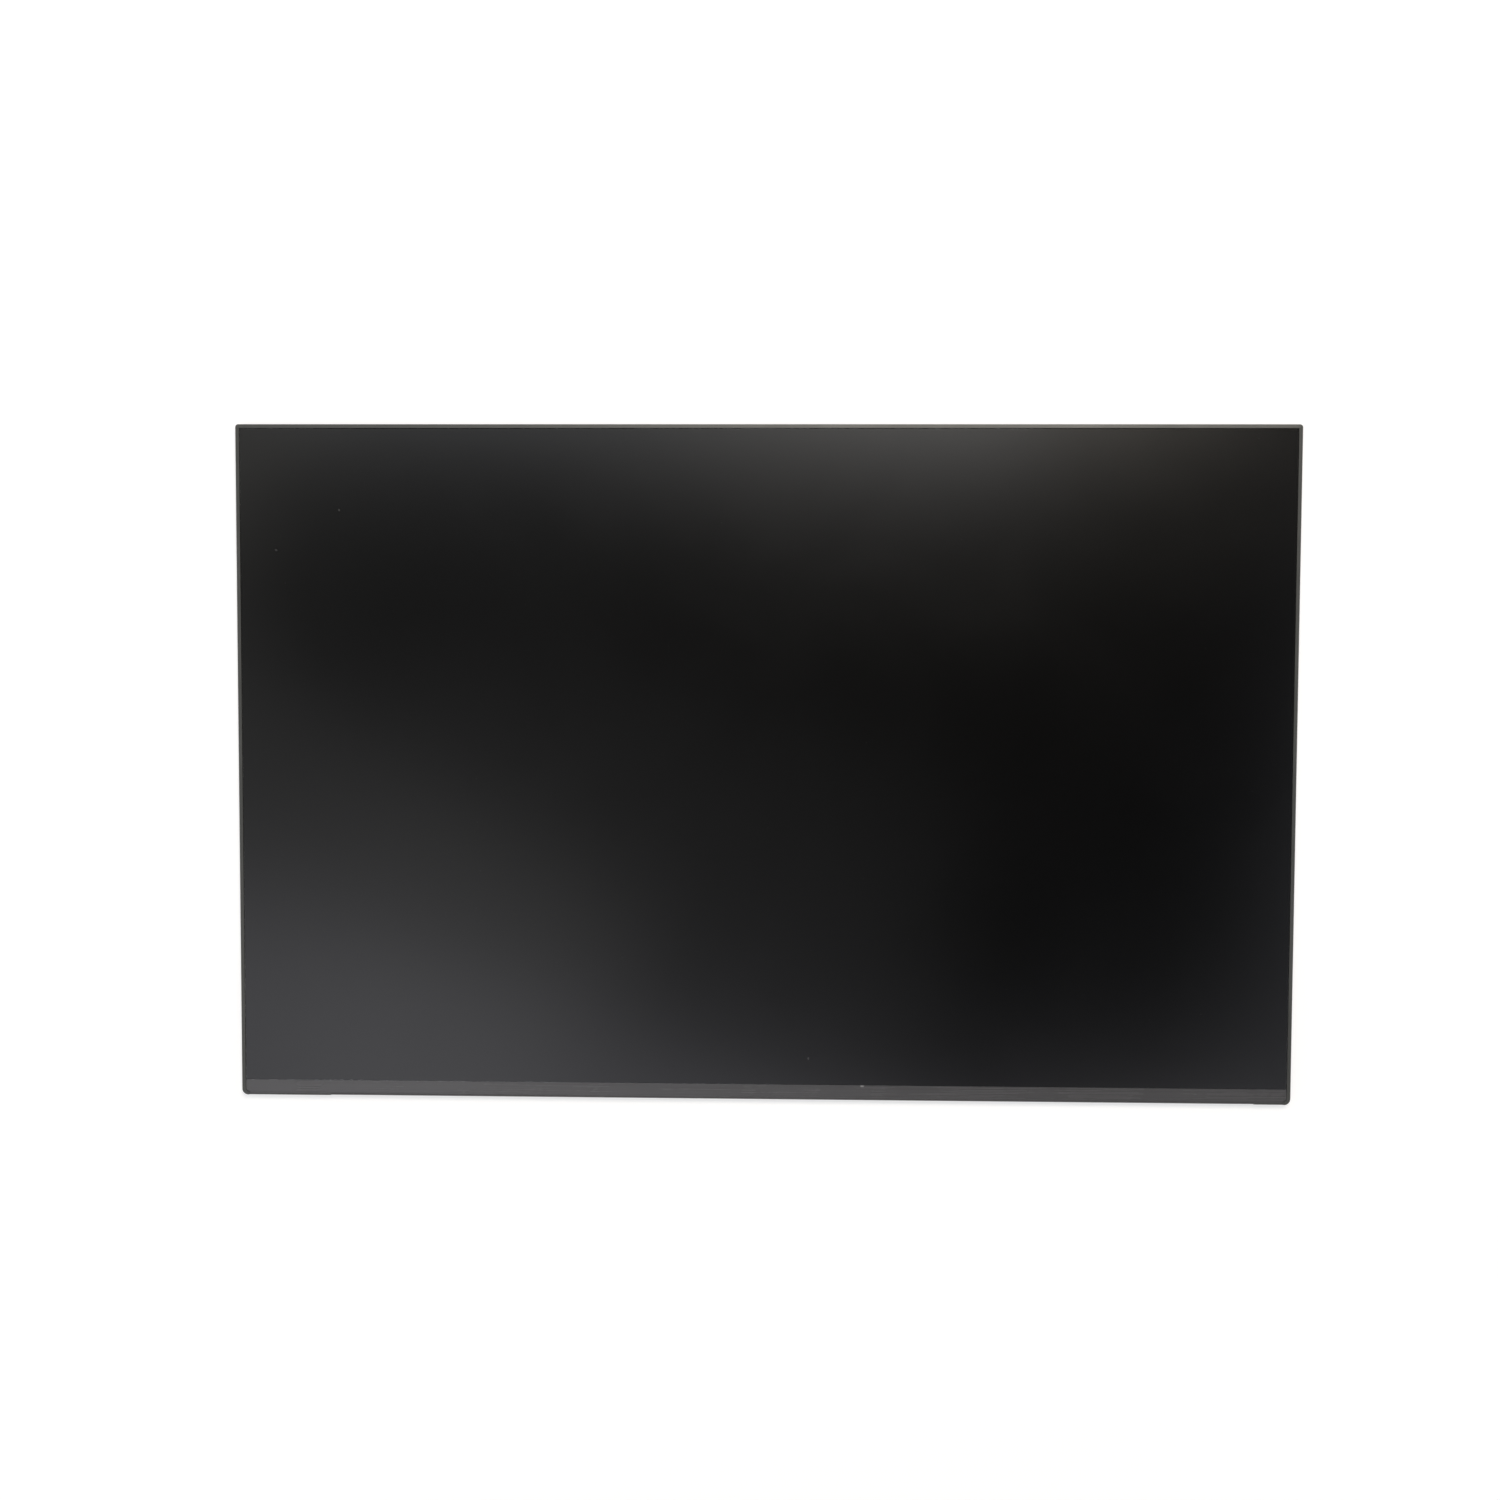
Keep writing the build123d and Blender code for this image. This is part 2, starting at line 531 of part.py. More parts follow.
def connector_contacts():
    """Contacts of the signal connector: each runs along the tongue and down to its solder foot."""
    drop = BLOCK_HIGH - CONTACT_DROP
    route = [(TONGUE_END - TONGUE_BARE, TONGUE_REAR), (drop, TONGUE_REAR), (drop, BOARD_REAR),
             (CONNECTOR_LOW - CONTACT_FOOT, BOARD_REAR)]
    contact = bent(route, 0, CONTACT, -CONTACT_WIDTH / 2, CONTACT_WIDTH / 2, Side.LEFT)
    first = CONNECTOR_X - (CONTACT_COUNT - 1) / 2 * CONTACT_PITCH
    return Compound([Pos(first + i * CONTACT_PITCH, 0, 0) * contact for i in range(CONTACT_COUNT)])


def connector_insulator(contacts):
    """Moulded body of the signal connector: block, tongue and guide posts, round the contacts."""
    body = block(-BLOCK_RIGHT, BLOCK_RIGHT, BLOCK_LOW, BLOCK_HIGH, BLOCK_REAR, BOARD_REAR)
    body += block(-TONGUE_RIGHT, TONGUE_RIGHT, BLOCK_HIGH, TONGUE_END, TONGUE_REAR, TONGUE_FRONT)
    for left in (-BLOCK_RIGHT, BLOCK_RIGHT - GUIDE_POST):
        body += block(left, left + GUIDE_POST, BLOCK_HIGH, GUIDE_POST_END, BLOCK_REAR, BOARD_REAR)
    return Pos(CONNECTOR_X, 0, 0) * body - contacts


def connector_shell():
    """Folded metal shell of the signal connector, with its solder ears and latch windows."""
    half = CONNECTOR_WIDTH / 2
    section = between(-half, half, 0, BOARD_REAR)
    section -= between(SHELL_SHEET - half, half - SHELL_SHEET, SHELL_SHEET, BOARD_REAR)
    shell = extrude(Plane.XZ.offset(-BOARD_HEAD_TOP) * section, BOARD_HEAD_TOP - CONNECTOR_LOW)
    for left in (-half - SHELL_EAR_REACH, half):
        for low in (CONNECTOR_LOW + SHELL_EAR_INSET, BOARD_HEAD_TOP - SHELL_EAR_INSET - SHELL_EAR_WIDTH):
            shell += block(left, left + SHELL_EAR_REACH, low, low + SHELL_EAR_WIDTH,
                           BOARD_REAR - SHELL_SHEET, BOARD_REAR)
    for place in LATCH_PLACES:
        shell -= block(place - LATCH_LENGTH / 2, place + LATCH_LENGTH / 2,
                       BOARD_HEAD_TOP - LATCH_SPAN[1], BOARD_HEAD_TOP - LATCH_SPAN[0], 0, SHELL_SHEET)
    return Pos(CONNECTOR_X, 0, 0) * shell


def chip(package):
    """Moulded chip package on the board, with the cut corner that marks its first lead."""
    face = Rectangle(package.length, package.width)
    face = chamfer(face.vertices().sort_by(Axis.X)[0], CHIP_KEY)
    return Pos(package.x, package.y, 0) * plate(face, BOARD_REAR - package.height, BOARD_REAR)


def inductor(package):
    """Shielded power inductor: a square ferrite body with cut corners and broken edges."""
    face = Rectangle(package.length, package.width)
    face = chamfer(face.vertices(), INDUCTOR_CORNER)
    body = plate(face, BOARD_REAR - package.height, BOARD_REAR)
    return Pos(package.x, package.y, 0) * chamfer(body.edges().group_by(Axis.Z)[0], INDUCTOR_EDGE)


def diode(package):
    """Moulded diode with tapered sides, on a flat foot at each end."""
    foot = BOARD_REAR - DIODE_FOOT_HEIGHT
    face = Plane.XY.offset(foot) * Rectangle(package.length - 2 * DIODE_FOOT, package.width)
    body = extrude(face, package.height - DIODE_FOOT_HEIGHT, dir=(0, 0, -1), taper=DIODE_DRAFT)
    body += plate(Rectangle(package.length, DIODE_FOOT_WIDTH), foot, BOARD_REAR)
    return Pos(package.x, package.y, 0) * body


def small_parts(rows):
    """The bodies and the end terminals of the small parts in some rows, as two groups."""
    bodies = []
    terminals = []
    for row in rows:
        length = max(row.length, row.width)
        width = min(row.length, row.width)
        end = TERMINAL_SHARE * length
        body = Box(length - 2 * end, width - 2 * TERMINAL_WRAP, row.height - 2 * TERMINAL_WRAP)
        terminal = Box(end, width, row.height)
        turn = Rot() if row.length >= row.width else Rot(Z=90)
        for i in range(row.count):
            place = Pos(row.x + i * row.step_x, row.y + i * row.step_y, BOARD_REAR - row.height / 2) * turn
            bodies.append(place * body)
            for side in (-1, 1):
                terminals.append(place * Pos(side * (length - end) / 2, 0, 0) * terminal)
    return Compound(bodies), Compound(terminals)


def all_parts():
    """Every piece of the module, by the name of its node."""
    parts = {
        "front_polariser": polariser(FILTER_FRONT, FACE),
        "colour_filter_glass": glass_sheet(FILTER_LOW, ARRAY_FRONT, FILTER_FRONT),
        "array_glass": glass_sheet(ARRAY_LOW, ARRAY_REAR, ARRAY_FRONT),
        "rear_polariser": polariser(CELL_REAR, ARRAY_REAR),
        "rim_tape": rim_tape(),
        "upper_diffuser": optical_sheet(SHEET_INSET, UPPER_DIFFUSER_REAR, LEDGE),
        "upper_prism_sheet": optical_sheet(SHEET_INSET, UPPER_PRISM_REAR, UPPER_DIFFUSER_REAR),
        "lower_prism_sheet": optical_sheet(SHEET_INSET, LOWER_PRISM_REAR, UPPER_PRISM_REAR),
        "lower_diffuser": optical_sheet(SHEET_INSET, GUIDE_FRONT, LOWER_PRISM_REAR),
        "light_guide_plate": optical_sheet(GUIDE_INSET, GUIDE_REAR, GUIDE_FRONT),
        "reflector_sheet": optical_sheet(REFLECTOR_INSET, FLOOR, GUIDE_REAR),
        "lamps": lamps(),
        "lamp_strip": lamp_strip(),
        "lamp_strip_tape": lamp_strip_tape(),
        "mould_frame": mould_frame(),
        "back_cover": back_cover(),
        "bottom_tape": bottom_tape(),
        "circuit_board": circuit_board(),
        "board_tape": board_tape(),
        "ground_foil_right": ground_foil(),
        "ground_foil_left": mirror(ground_foil(), about=Plane.YZ),
        "connector_contacts": connector_contacts(),
        "connector_shell": connector_shell(),
        "power_inductors": Compound([inductor(package) for package in INDUCTORS]),
        "diodes": Compound([diode(package) for package in DIODES]),
    }
    for number, centre in enumerate(FILM_CENTRES, 1):
        parts[f"driver_film_{number}"] = driver_film(centre)
        parts[f"driver_chip_{number}"] = driver_chip(centre)
    parts["connector_insulator"] = connector_insulator(parts["connector_contacts"])
    for name, package in CHIPS.items():
        parts[name] = chip(package)
    parts["capacitor_bodies"], parts["capacitor_terminals"] = small_parts(CAPACITOR_ROWS)
    parts["resistor_bodies"], parts["resistor_terminals"] = small_parts(RESISTOR_ROWS)
    return parts


os.makedirs("parts", exist_ok=True)
for node, shape in all_parts().items():
    export_step(shape, f"parts/{node}.step")
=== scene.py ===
import math
from collections import namedtuple

import bmesh
import bpy
from bpy.props import FloatProperty, FloatVectorProperty, IntProperty, PointerProperty
from mathutils import Matrix, Quaternion, Vector


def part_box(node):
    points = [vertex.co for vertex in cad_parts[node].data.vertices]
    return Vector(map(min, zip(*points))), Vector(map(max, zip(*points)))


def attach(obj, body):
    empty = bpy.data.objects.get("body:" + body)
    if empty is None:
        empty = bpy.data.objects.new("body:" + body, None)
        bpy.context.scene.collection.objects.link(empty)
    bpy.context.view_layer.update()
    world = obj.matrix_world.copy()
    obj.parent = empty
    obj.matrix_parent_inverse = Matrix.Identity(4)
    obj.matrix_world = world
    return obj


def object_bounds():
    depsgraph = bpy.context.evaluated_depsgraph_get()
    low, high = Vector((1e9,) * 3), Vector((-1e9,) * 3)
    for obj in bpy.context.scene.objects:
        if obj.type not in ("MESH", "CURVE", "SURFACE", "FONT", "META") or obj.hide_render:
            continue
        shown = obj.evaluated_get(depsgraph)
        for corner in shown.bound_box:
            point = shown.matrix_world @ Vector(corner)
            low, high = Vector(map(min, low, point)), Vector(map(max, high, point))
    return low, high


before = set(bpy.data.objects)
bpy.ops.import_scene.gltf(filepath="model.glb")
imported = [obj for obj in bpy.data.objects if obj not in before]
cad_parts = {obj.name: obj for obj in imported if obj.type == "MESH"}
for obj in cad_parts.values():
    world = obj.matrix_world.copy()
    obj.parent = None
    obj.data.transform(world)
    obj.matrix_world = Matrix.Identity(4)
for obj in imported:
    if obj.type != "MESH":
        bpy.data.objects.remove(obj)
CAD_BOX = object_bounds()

bl_info = {
    "name": "Notebook screen panel",
    "version": (1, 0, 0),
    "blender": (4, 5, 0),
    "location": "3D View > Sidebar > Screen panel",
    "description": "Finishes, soldering and stage for a notebook screen panel that lies on its back",
    "category": "Object",
}

MM = 0.001
MICRON = 0.001 * MM
BODY = "root"

# Places that follow from the frame, in metres
FACE_LOW, FACE_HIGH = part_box("front_polariser")
TAPE_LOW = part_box("bottom_tape")[0]
BOARD_LOW, BOARD_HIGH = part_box("circuit_board")
LAMPS_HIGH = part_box("lamps")[1]
CENTRE = Vector((0, 0, FACE_HIGH.z))
RIM = CAD_BOX[1].y - FACE_HIGH.y
TAPE_START = max(corner.co.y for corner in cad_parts["bottom_tape"].data.vertices
                 if corner.co.z > BOARD_HIGH.z + MM)
CREASE_INSET = 0.85 * MM  # from the tape's folded edge to its crease
CREASE = TAPE_LOW.y + CREASE_INSET
DRIVER_FILMS = [name for name in sorted(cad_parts) if name.startswith("driver_film")]
DRIVER_CHIPS = [name for name in sorted(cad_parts) if name.startswith("driver_chip")]

# Sockets of node groups
NUMBER = "NodeSocketFloat"
VECTOR = "NodeSocketVector"

# Specks that lie on the face and on the tape: place, length and width in millimetres, turn in degrees
# and brightness
Speck = namedtuple("Speck", "x y length width turn level")
FACE_SPECKS = (
    Speck(-122.88, 73.21, 0.58, 0.52, 70, 0.034),
    Speck(-141.33, 61.67, 0.75, 0.45, 20, 0.028),
    Speck(13.40, -85.50, 0.70, 0.42, 80, 0.050),
)
TAPE_SPECKS = (Speck(29.10, -93.50, 1.10, 0.60, 0, 0.28),)

# Rows of test pads on the board: the first pad's place and the step between pads in millimetres, and
# the share of a full row that is there
PadRow = namedtuple("PadRow", "x y share")
TEST_PAD_ROWS = (PadRow(55.8, -84.7, 1.0), PadRow(56.95, -86.6, 1.0), PadRow(-77.6, -80.4, 0.5))
TEST_PAD_STEP = 2.3
TEST_PAD_RISE = 0.03 * MM

# Solder against a terminal, and the leads of the memory, in metres
Solder = namedtuple("Solder", "width reach rise")
CONTACT_SOLDER = Solder(0.26 * MM, 0.3 * MM, 0.06 * MM)
EAR_SOLDER = Solder(2.2 * MM, 0.4 * MM, 0.12 * MM)
EAR_INSET = 1.25 * MM  # from the ends of the connector's shell to the middle of an ear
CHIP_SOLDER_REACH = 0.26 * MM
CHIP_SOLDER_RISE = 0.2 * MM
END_SOLDER_SHARE = 0.55  # of a small part's height
TAB_SOLDER_SHARE = 0.5  # of a power part's width
TAB_SOLDER_SPREAD = 1.3  # times the reach at a small part
TAB_SOLDER_RISE = 0.1 * MM
SOLDER_STEPS = 5
SOLDER_TOP = 0.86  # width at the top of the solder, as a share of its foot
MEMORY_LEADS = 4  # on each side
MEMORY_PITCH = 1.27 * MM
MEMORY_LEAD = {"width": 0.42 * MM, "reach": 0.85 * MM, "rise": 0.34 * MM, "sheet": 0.1 * MM}

# Softboxes round the panel: direction and spin in degrees, brightness, size in metres and tint. The
# first eight come from a least-squares fit to the photograph's face and were rounded afterwards
Softbox = namedtuple("Softbox", "name azimuth elevation spin level width height tint")
SOFTBOXES = (
    Softbox("beyond_top", 72, 61, -12, 12.3, 0.37, 0.25, (1.08, 1.00, 0.89)),
    Softbox("top_edge", 108, 71, 22, 1.95, 0.58, 0.15, (0.98, 1.00, 1.03)),
    Softbox("upper_left", 132, 59.5, -11, 1.05, 0.76, 0.10, (1.02, 1.00, 0.95)),
    Softbox("left_edge", 204, 61, -35, 0.53, 0.53, 0.36, (1.00, 1.00, 1.00)),
    Softbox("lower_left", 240, 61.5, -10, 1.05, 0.63, 0.31, (0.98, 0.98, 1.08)),
    Softbox("left_fill", 242, 71.5, -13, 0.19, 0.46, 0.54, (1.00, 1.00, 1.00)),
    Softbox("bottom", 270, 62.5, -10, 1.95, 0.80, 0.10, (0.99, 0.98, 1.05)),
    Softbox("right", 1, 59, 14, 0.86, 0.80, 0.10, (0.97, 0.99, 1.07)),
    Softbox("side_left", 175, 32, 0, 1.00, 0.80, 0.40, (1.00, 1.00, 1.00)),
    Softbox("side_right", 5, 32, 0, 0.80, 0.80, 0.40, (1.00, 1.00, 1.00)),
)
SOFTBOX_DISTANCE = 0.9
WATTS_PER_LEVEL = math.pi  # for each square metre of a softbox

# Floor: its grey where it only passes light on, its grey where it is seen, and the glow that makes it
# white there, which grows with the distance from the panel in metres
FLOOR_GREY = 0.8
SEEN_FLOOR_GREY = 0.58
GLOW_NEAR, GLOW_FAR = 0.55, 1.0
GLOW_START, GLOW_END = 0.2, 0.7
WHITE = (1.0, 1.0, 1.0, 1.0)

# The light that the surroundings give falls twice with height, which is 0 at the horizon and 1
# overhead: where a fall begins and ends, and the level before and after it
LOW_FALL = (0.10, 0.50, 1.0, 0.22)
HIGH_FALL = (0.45, 0.85, 1.0, 0.0)

# Directions on the board
RIGHT = Vector((1, 0, 0))
UP = Vector((0, 1, 0))


class Graph:
    """Adds nodes to a node tree. A value that is a socket is linked, and any other is set."""

    def __init__(self, tree):
        self.tree = tree

    def feed(self, socket, value):
        if isinstance(value, bpy.types.NodeSocket):
            self.tree.links.new(value, socket)
        else:
            socket.default_value = value

    def add(self, kind, inputs=None, **settings):
        node = self.tree.nodes.new(kind)
        for name, value in settings.items():
            setattr(node, name, value)
        for name, value in (inputs or {}).items():
            self.feed(node.inputs[name], value)
        return node

    def calc(self, operation, *values, clamp=False):
        node = self.add("ShaderNodeMath", operation=operation, use_clamp=clamp)
        for socket, value in zip(node.inputs, values):
            self.feed(socket, value)
        return node.outputs[0]

    def vector(self, operation, *values):
        node = self.add("ShaderNodeVectorMath", operation=operation)
        for socket, value in zip(node.inputs, values):
            self.feed(socket, value)
        return node.outputs["Value" if operation in ("DOT_PRODUCT", "LENGTH") else "Vector"]

    def scaled(self, vector, factor):
        node = self.add("ShaderNodeVectorMath", operation="SCALE")
        self.feed(node.inputs["Vector"], vector)
        self.feed(node.inputs["Scale"], factor)
        return node.outputs["Vector"]

    def ramp(self, value, low, high, to_low=0.0, to_high=1.0, kind="SMOOTHSTEP"):
        """A value carried from one range to another, level beyond both ends."""
        ends = {"Value": value, "From Min": low, "From Max": high, "To Min": to_low, "To Max": to_high}
        return self.add("ShaderNodeMapRange", ends, interpolation_type=kind).outputs["Result"]

    def noise(self, vector, detail=2.0, roughness=0.5, distortion=0.0):
        settings = {"Vector": vector, "Scale": 1.0, "Detail": detail, "Roughness": roughness,
                    "Distortion": distortion}
        return self.add("ShaderNodeTexNoise", settings).outputs["Fac"]

    def split(self, vector):
        return self.add("ShaderNodeSeparateXYZ", {"Vector": vector}).outputs

    def joined(self, x, y, z):
        return self.add("ShaderNodeCombineXYZ", {"X": x, "Y": y, "Z": z}).outputs["Vector"]

    def mixed(self, factor, first, second):
        node = self.add("ShaderNodeMix", data_type="RGBA", clamp_factor=True)
        for label, value in (("Factor_Float", factor), ("A_Color", first), ("B_Color", second)):
            self.feed(next(s for s in node.inputs if s.identifier == label), value)
        return next(s for s in node.outputs if s.identifier == "Result_Color")

    def use(self, tree, **inputs):
        """The outputs of a node group, placed here with its own values."""
        node = self.add("ShaderNodeGroup", node_tree=tree)
        for name, value in inputs.items():
            self.feed(node.inputs[name], value)
        return node.outputs


def shared_group(build):
    """Makes a node group the first time that it is asked for. The function's docstring is its name."""

    def ask():
        name = build.__doc__
        tree = bpy.data.node_groups.get(name)
        if tree is None:
            tree = bpy.data.node_groups.new(name, "ShaderNodeTree")
            build(tree)
        return tree

    return ask


def open_group(tree, inputs, outputs):
    """The sockets of a new group, by name: what comes into it and what goes out of it."""
    for name, kind in inputs.items():
        tree.interface.new_socket(name, in_out="INPUT", socket_type=kind)
    for name in outputs:
        tree.interface.new_socket(name, in_out="OUTPUT", socket_type=NUMBER)
    return tree.nodes.new("NodeGroupInput").outputs, tree.nodes.new("NodeGroupOutput").inputs


@shared_group
def fine_grain(tree):
    """Fine grain"""
    given, out = open_group(tree, {"Position": VECTOR, "Size": NUMBER}, ["Grain"])
    graph = Graph(tree)
    near = graph.scaled(given["Position"], graph.calc("DIVIDE", 1.0, given["Size"]))
    graph.feed(out["Grain"], graph.ramp(graph.noise(near, 3.0, 0.6), 0.3, 0.7, kind="LINEAR"))


@shared_group
def drawn_streaks(tree):
    """Drawn streaks"""
    given, out = open_group(tree, {"Position": VECTOR, "Length": NUMBER, "Width": NUMBER}, ["Streak"])
    graph = Graph(tree)
    along = graph.calc("DIVIDE", 1.0, given["Length"])
    across = graph.calc("DIVIDE", 1.0, given["Width"])
    near = graph.vector("MULTIPLY", given["Position"], graph.joined(along, across, across))
    graph.feed(out["Streak"], graph.ramp(graph.noise(near, 4.0, 0.65), 0.3, 0.7, kind="LINEAR"))


@shared_group
def hand_smudges(tree):
    """Hand smudges"""
    given, out = open_group(tree, {"Position": VECTOR, "Size": NUMBER}, ["Smudge"])
    graph = Graph(tree)
    near = graph.scaled(given["Position"], graph.calc("DIVIDE", 1.0, given["Size"]))
    graph.feed(out["Smudge"], graph.ramp(graph.noise(near, 4.0, 0.55, 0.6), 0.35, 0.65))


@shared_group
def scattered_dust(tree):
    """Scattered dust"""
    inputs = {"Position": VECTOR, "Spacing": NUMBER, "Size": NUMBER, "Share": NUMBER}
    given, out = open_group(tree, inputs, ["Dust"])
    graph = Graph(tree)
    near = graph.scaled(given["Position"], graph.calc("DIVIDE", 1.0, given["Spacing"]))
    cells = graph.add("ShaderNodeTexVoronoi", {"Vector": near, "Scale": 1.0}, voronoi_dimensions="2D")
    chance = graph.split(cells.outputs["Color"])
    radius = graph.calc("DIVIDE", given["Size"], graph.calc("MULTIPLY", given["Spacing"], 2.0))
    radius = graph.calc("MULTIPLY", radius, graph.calc("ADD", chance["Y"], 0.4))
    spot = graph.ramp(cells.outputs["Distance"], radius, graph.calc("MULTIPLY", radius, 0.5))
    kept = graph.calc("LESS_THAN", chance["X"], given["Share"])
    graph.feed(out["Dust"], graph.calc("MULTIPLY", spot, kept))


@shared_group
def hair_scratches(tree):
    """Hair scratches"""
    inputs = {"Position": VECTOR, "Turn": NUMBER, "Spacing": NUMBER, "Width": NUMBER, "Share": NUMBER}
    given, out = open_group(tree, inputs, ["Scratch"])
    graph = Graph(tree)
    turned = graph.add("ShaderNodeVectorRotate", {"Vector": given["Position"], "Angle": given["Turn"]},
                       rotation_type="Z_AXIS").outputs["Vector"]
    drawn_out = (0.012, 1.0, 1.0)
    drawn = graph.vector("MULTIPLY", turned, drawn_out)
    dust = graph.use(scattered_dust(), Position=drawn, Spacing=given["Spacing"], Size=given["Width"],
                     Share=given["Share"])
    graph.feed(out["Scratch"], dust["Dust"])


@shared_group
def lying_speck(tree):
    """Lying speck"""
    inputs = {"Position": VECTOR, "Place": VECTOR, "Turn": NUMBER, "Length": NUMBER, "Width": NUMBER}
    given, out = open_group(tree, inputs, ["Speck"])
    graph = Graph(tree)
    aside = graph.vector("SUBTRACT", given["Position"], given["Place"])
    aside = graph.add("ShaderNodeVectorRotate", {"Vector": aside, "Angle": given["Turn"]},
                      rotation_type="Z_AXIS").outputs["Vector"]
    sides = graph.split(aside)
    along = graph.calc("DIVIDE", sides["X"], given["Length"])
    across = graph.calc("DIVIDE", sides["Y"], given["Width"])
    off = graph.vector("LENGTH", graph.joined(along, across, 0.0))
    graph.feed(out["Speck"], graph.ramp(off, 0.62, 0.28))


@shared_group
def edge_wear(tree):
    """Edge wear"""
    given, out = open_group(tree, {"Position": VECTOR, "Radius": NUMBER}, ["Wear"])
    graph = Graph(tree)
    rounded = graph.add("ShaderNodeBevel", {"Radius": given["Radius"]}, samples=4).outputs["Normal"]
    straight = graph.add("ShaderNodeNewGeometry").outputs["Normal"]
    turned = graph.calc("SUBTRACT", 1.0, graph.vector("DOT_PRODUCT", rounded, straight))
    rubbed = graph.use(hand_smudges(), Position=given["Position"], Size=0.006)["Smudge"]
    wear = graph.calc("MULTIPLY", graph.ramp(turned, 0.01, 0.2), graph.ramp(rubbed, 0.0, 1.0, 0.35, 1.0))
    graph.feed(out["Wear"], wear)


@shared_group
def etched_tracks(tree):
    """Etched tracks"""
    inputs = {"Position": VECTOR, "Pitch": NUMBER, "Patch": NUMBER}
    given, out = open_group(tree, inputs, ["Track", "Via"])
    graph = Graph(tree)
    near = graph.scaled(given["Position"], graph.calc("DIVIDE", 1.0, given["Patch"]))
    patch = graph.add("ShaderNodeTexVoronoi", {"Vector": near, "Scale": 1.0, "Randomness": 0.8},
                      voronoi_dimensions="2D", distance="CHEBYCHEV")
    chance = graph.split(patch.outputs["Color"])["X"]
    fine = graph.scaled(given["Position"], graph.calc("DIVIDE", 1.0, given["Pitch"]))
    sides = graph.split(fine)
    rows = [graph.ramp(graph.calc("PINGPONG", sides[axis], 0.5), 0.2, 0.26) for axis in ("X", "Y")]
    upright = graph.calc("LESS_THAN", chance, 0.3)
    lines = graph.calc("ADD", graph.calc("MULTIPLY", upright, rows[0]),
                       graph.calc("MULTIPLY", graph.calc("SUBTRACT", 1.0, upright), rows[1]))
    poured = graph.calc("GREATER_THAN", chance, 0.72)
    graph.feed(out["Track"], graph.calc("MAXIMUM", lines, poured))
    dots = graph.add("ShaderNodeTexVoronoi", {"Vector": fine, "Scale": 0.16, "Randomness": 0.75},
                     voronoi_dimensions="2D")
    kept = graph.calc("LESS_THAN", graph.split(dots.outputs["Color"])["Z"], 0.3)
    ring = graph.calc("COMPARE", dots.outputs["Distance"], 0.11, 0.045)
    graph.feed(out["Via"], graph.calc("MULTIPLY", ring, kept))


@shared_group
def plain_weave(tree):
    """Plain weave"""
    given, out = open_group(tree, {"Position": VECTOR, "Pitch": NUMBER}, ["Thread"])
    graph = Graph(tree)
    turns = graph.split(graph.scaled(given["Position"], graph.calc("DIVIDE", math.pi, given["Pitch"])))
    warp = graph.calc("SINE", turns["X"])
    weft = graph.calc("SINE", turns["Y"])
    graph.feed(out["Thread"], graph.calc("MULTIPLY_ADD", graph.calc("MULTIPLY", warp, weft), 0.5, 0.5))


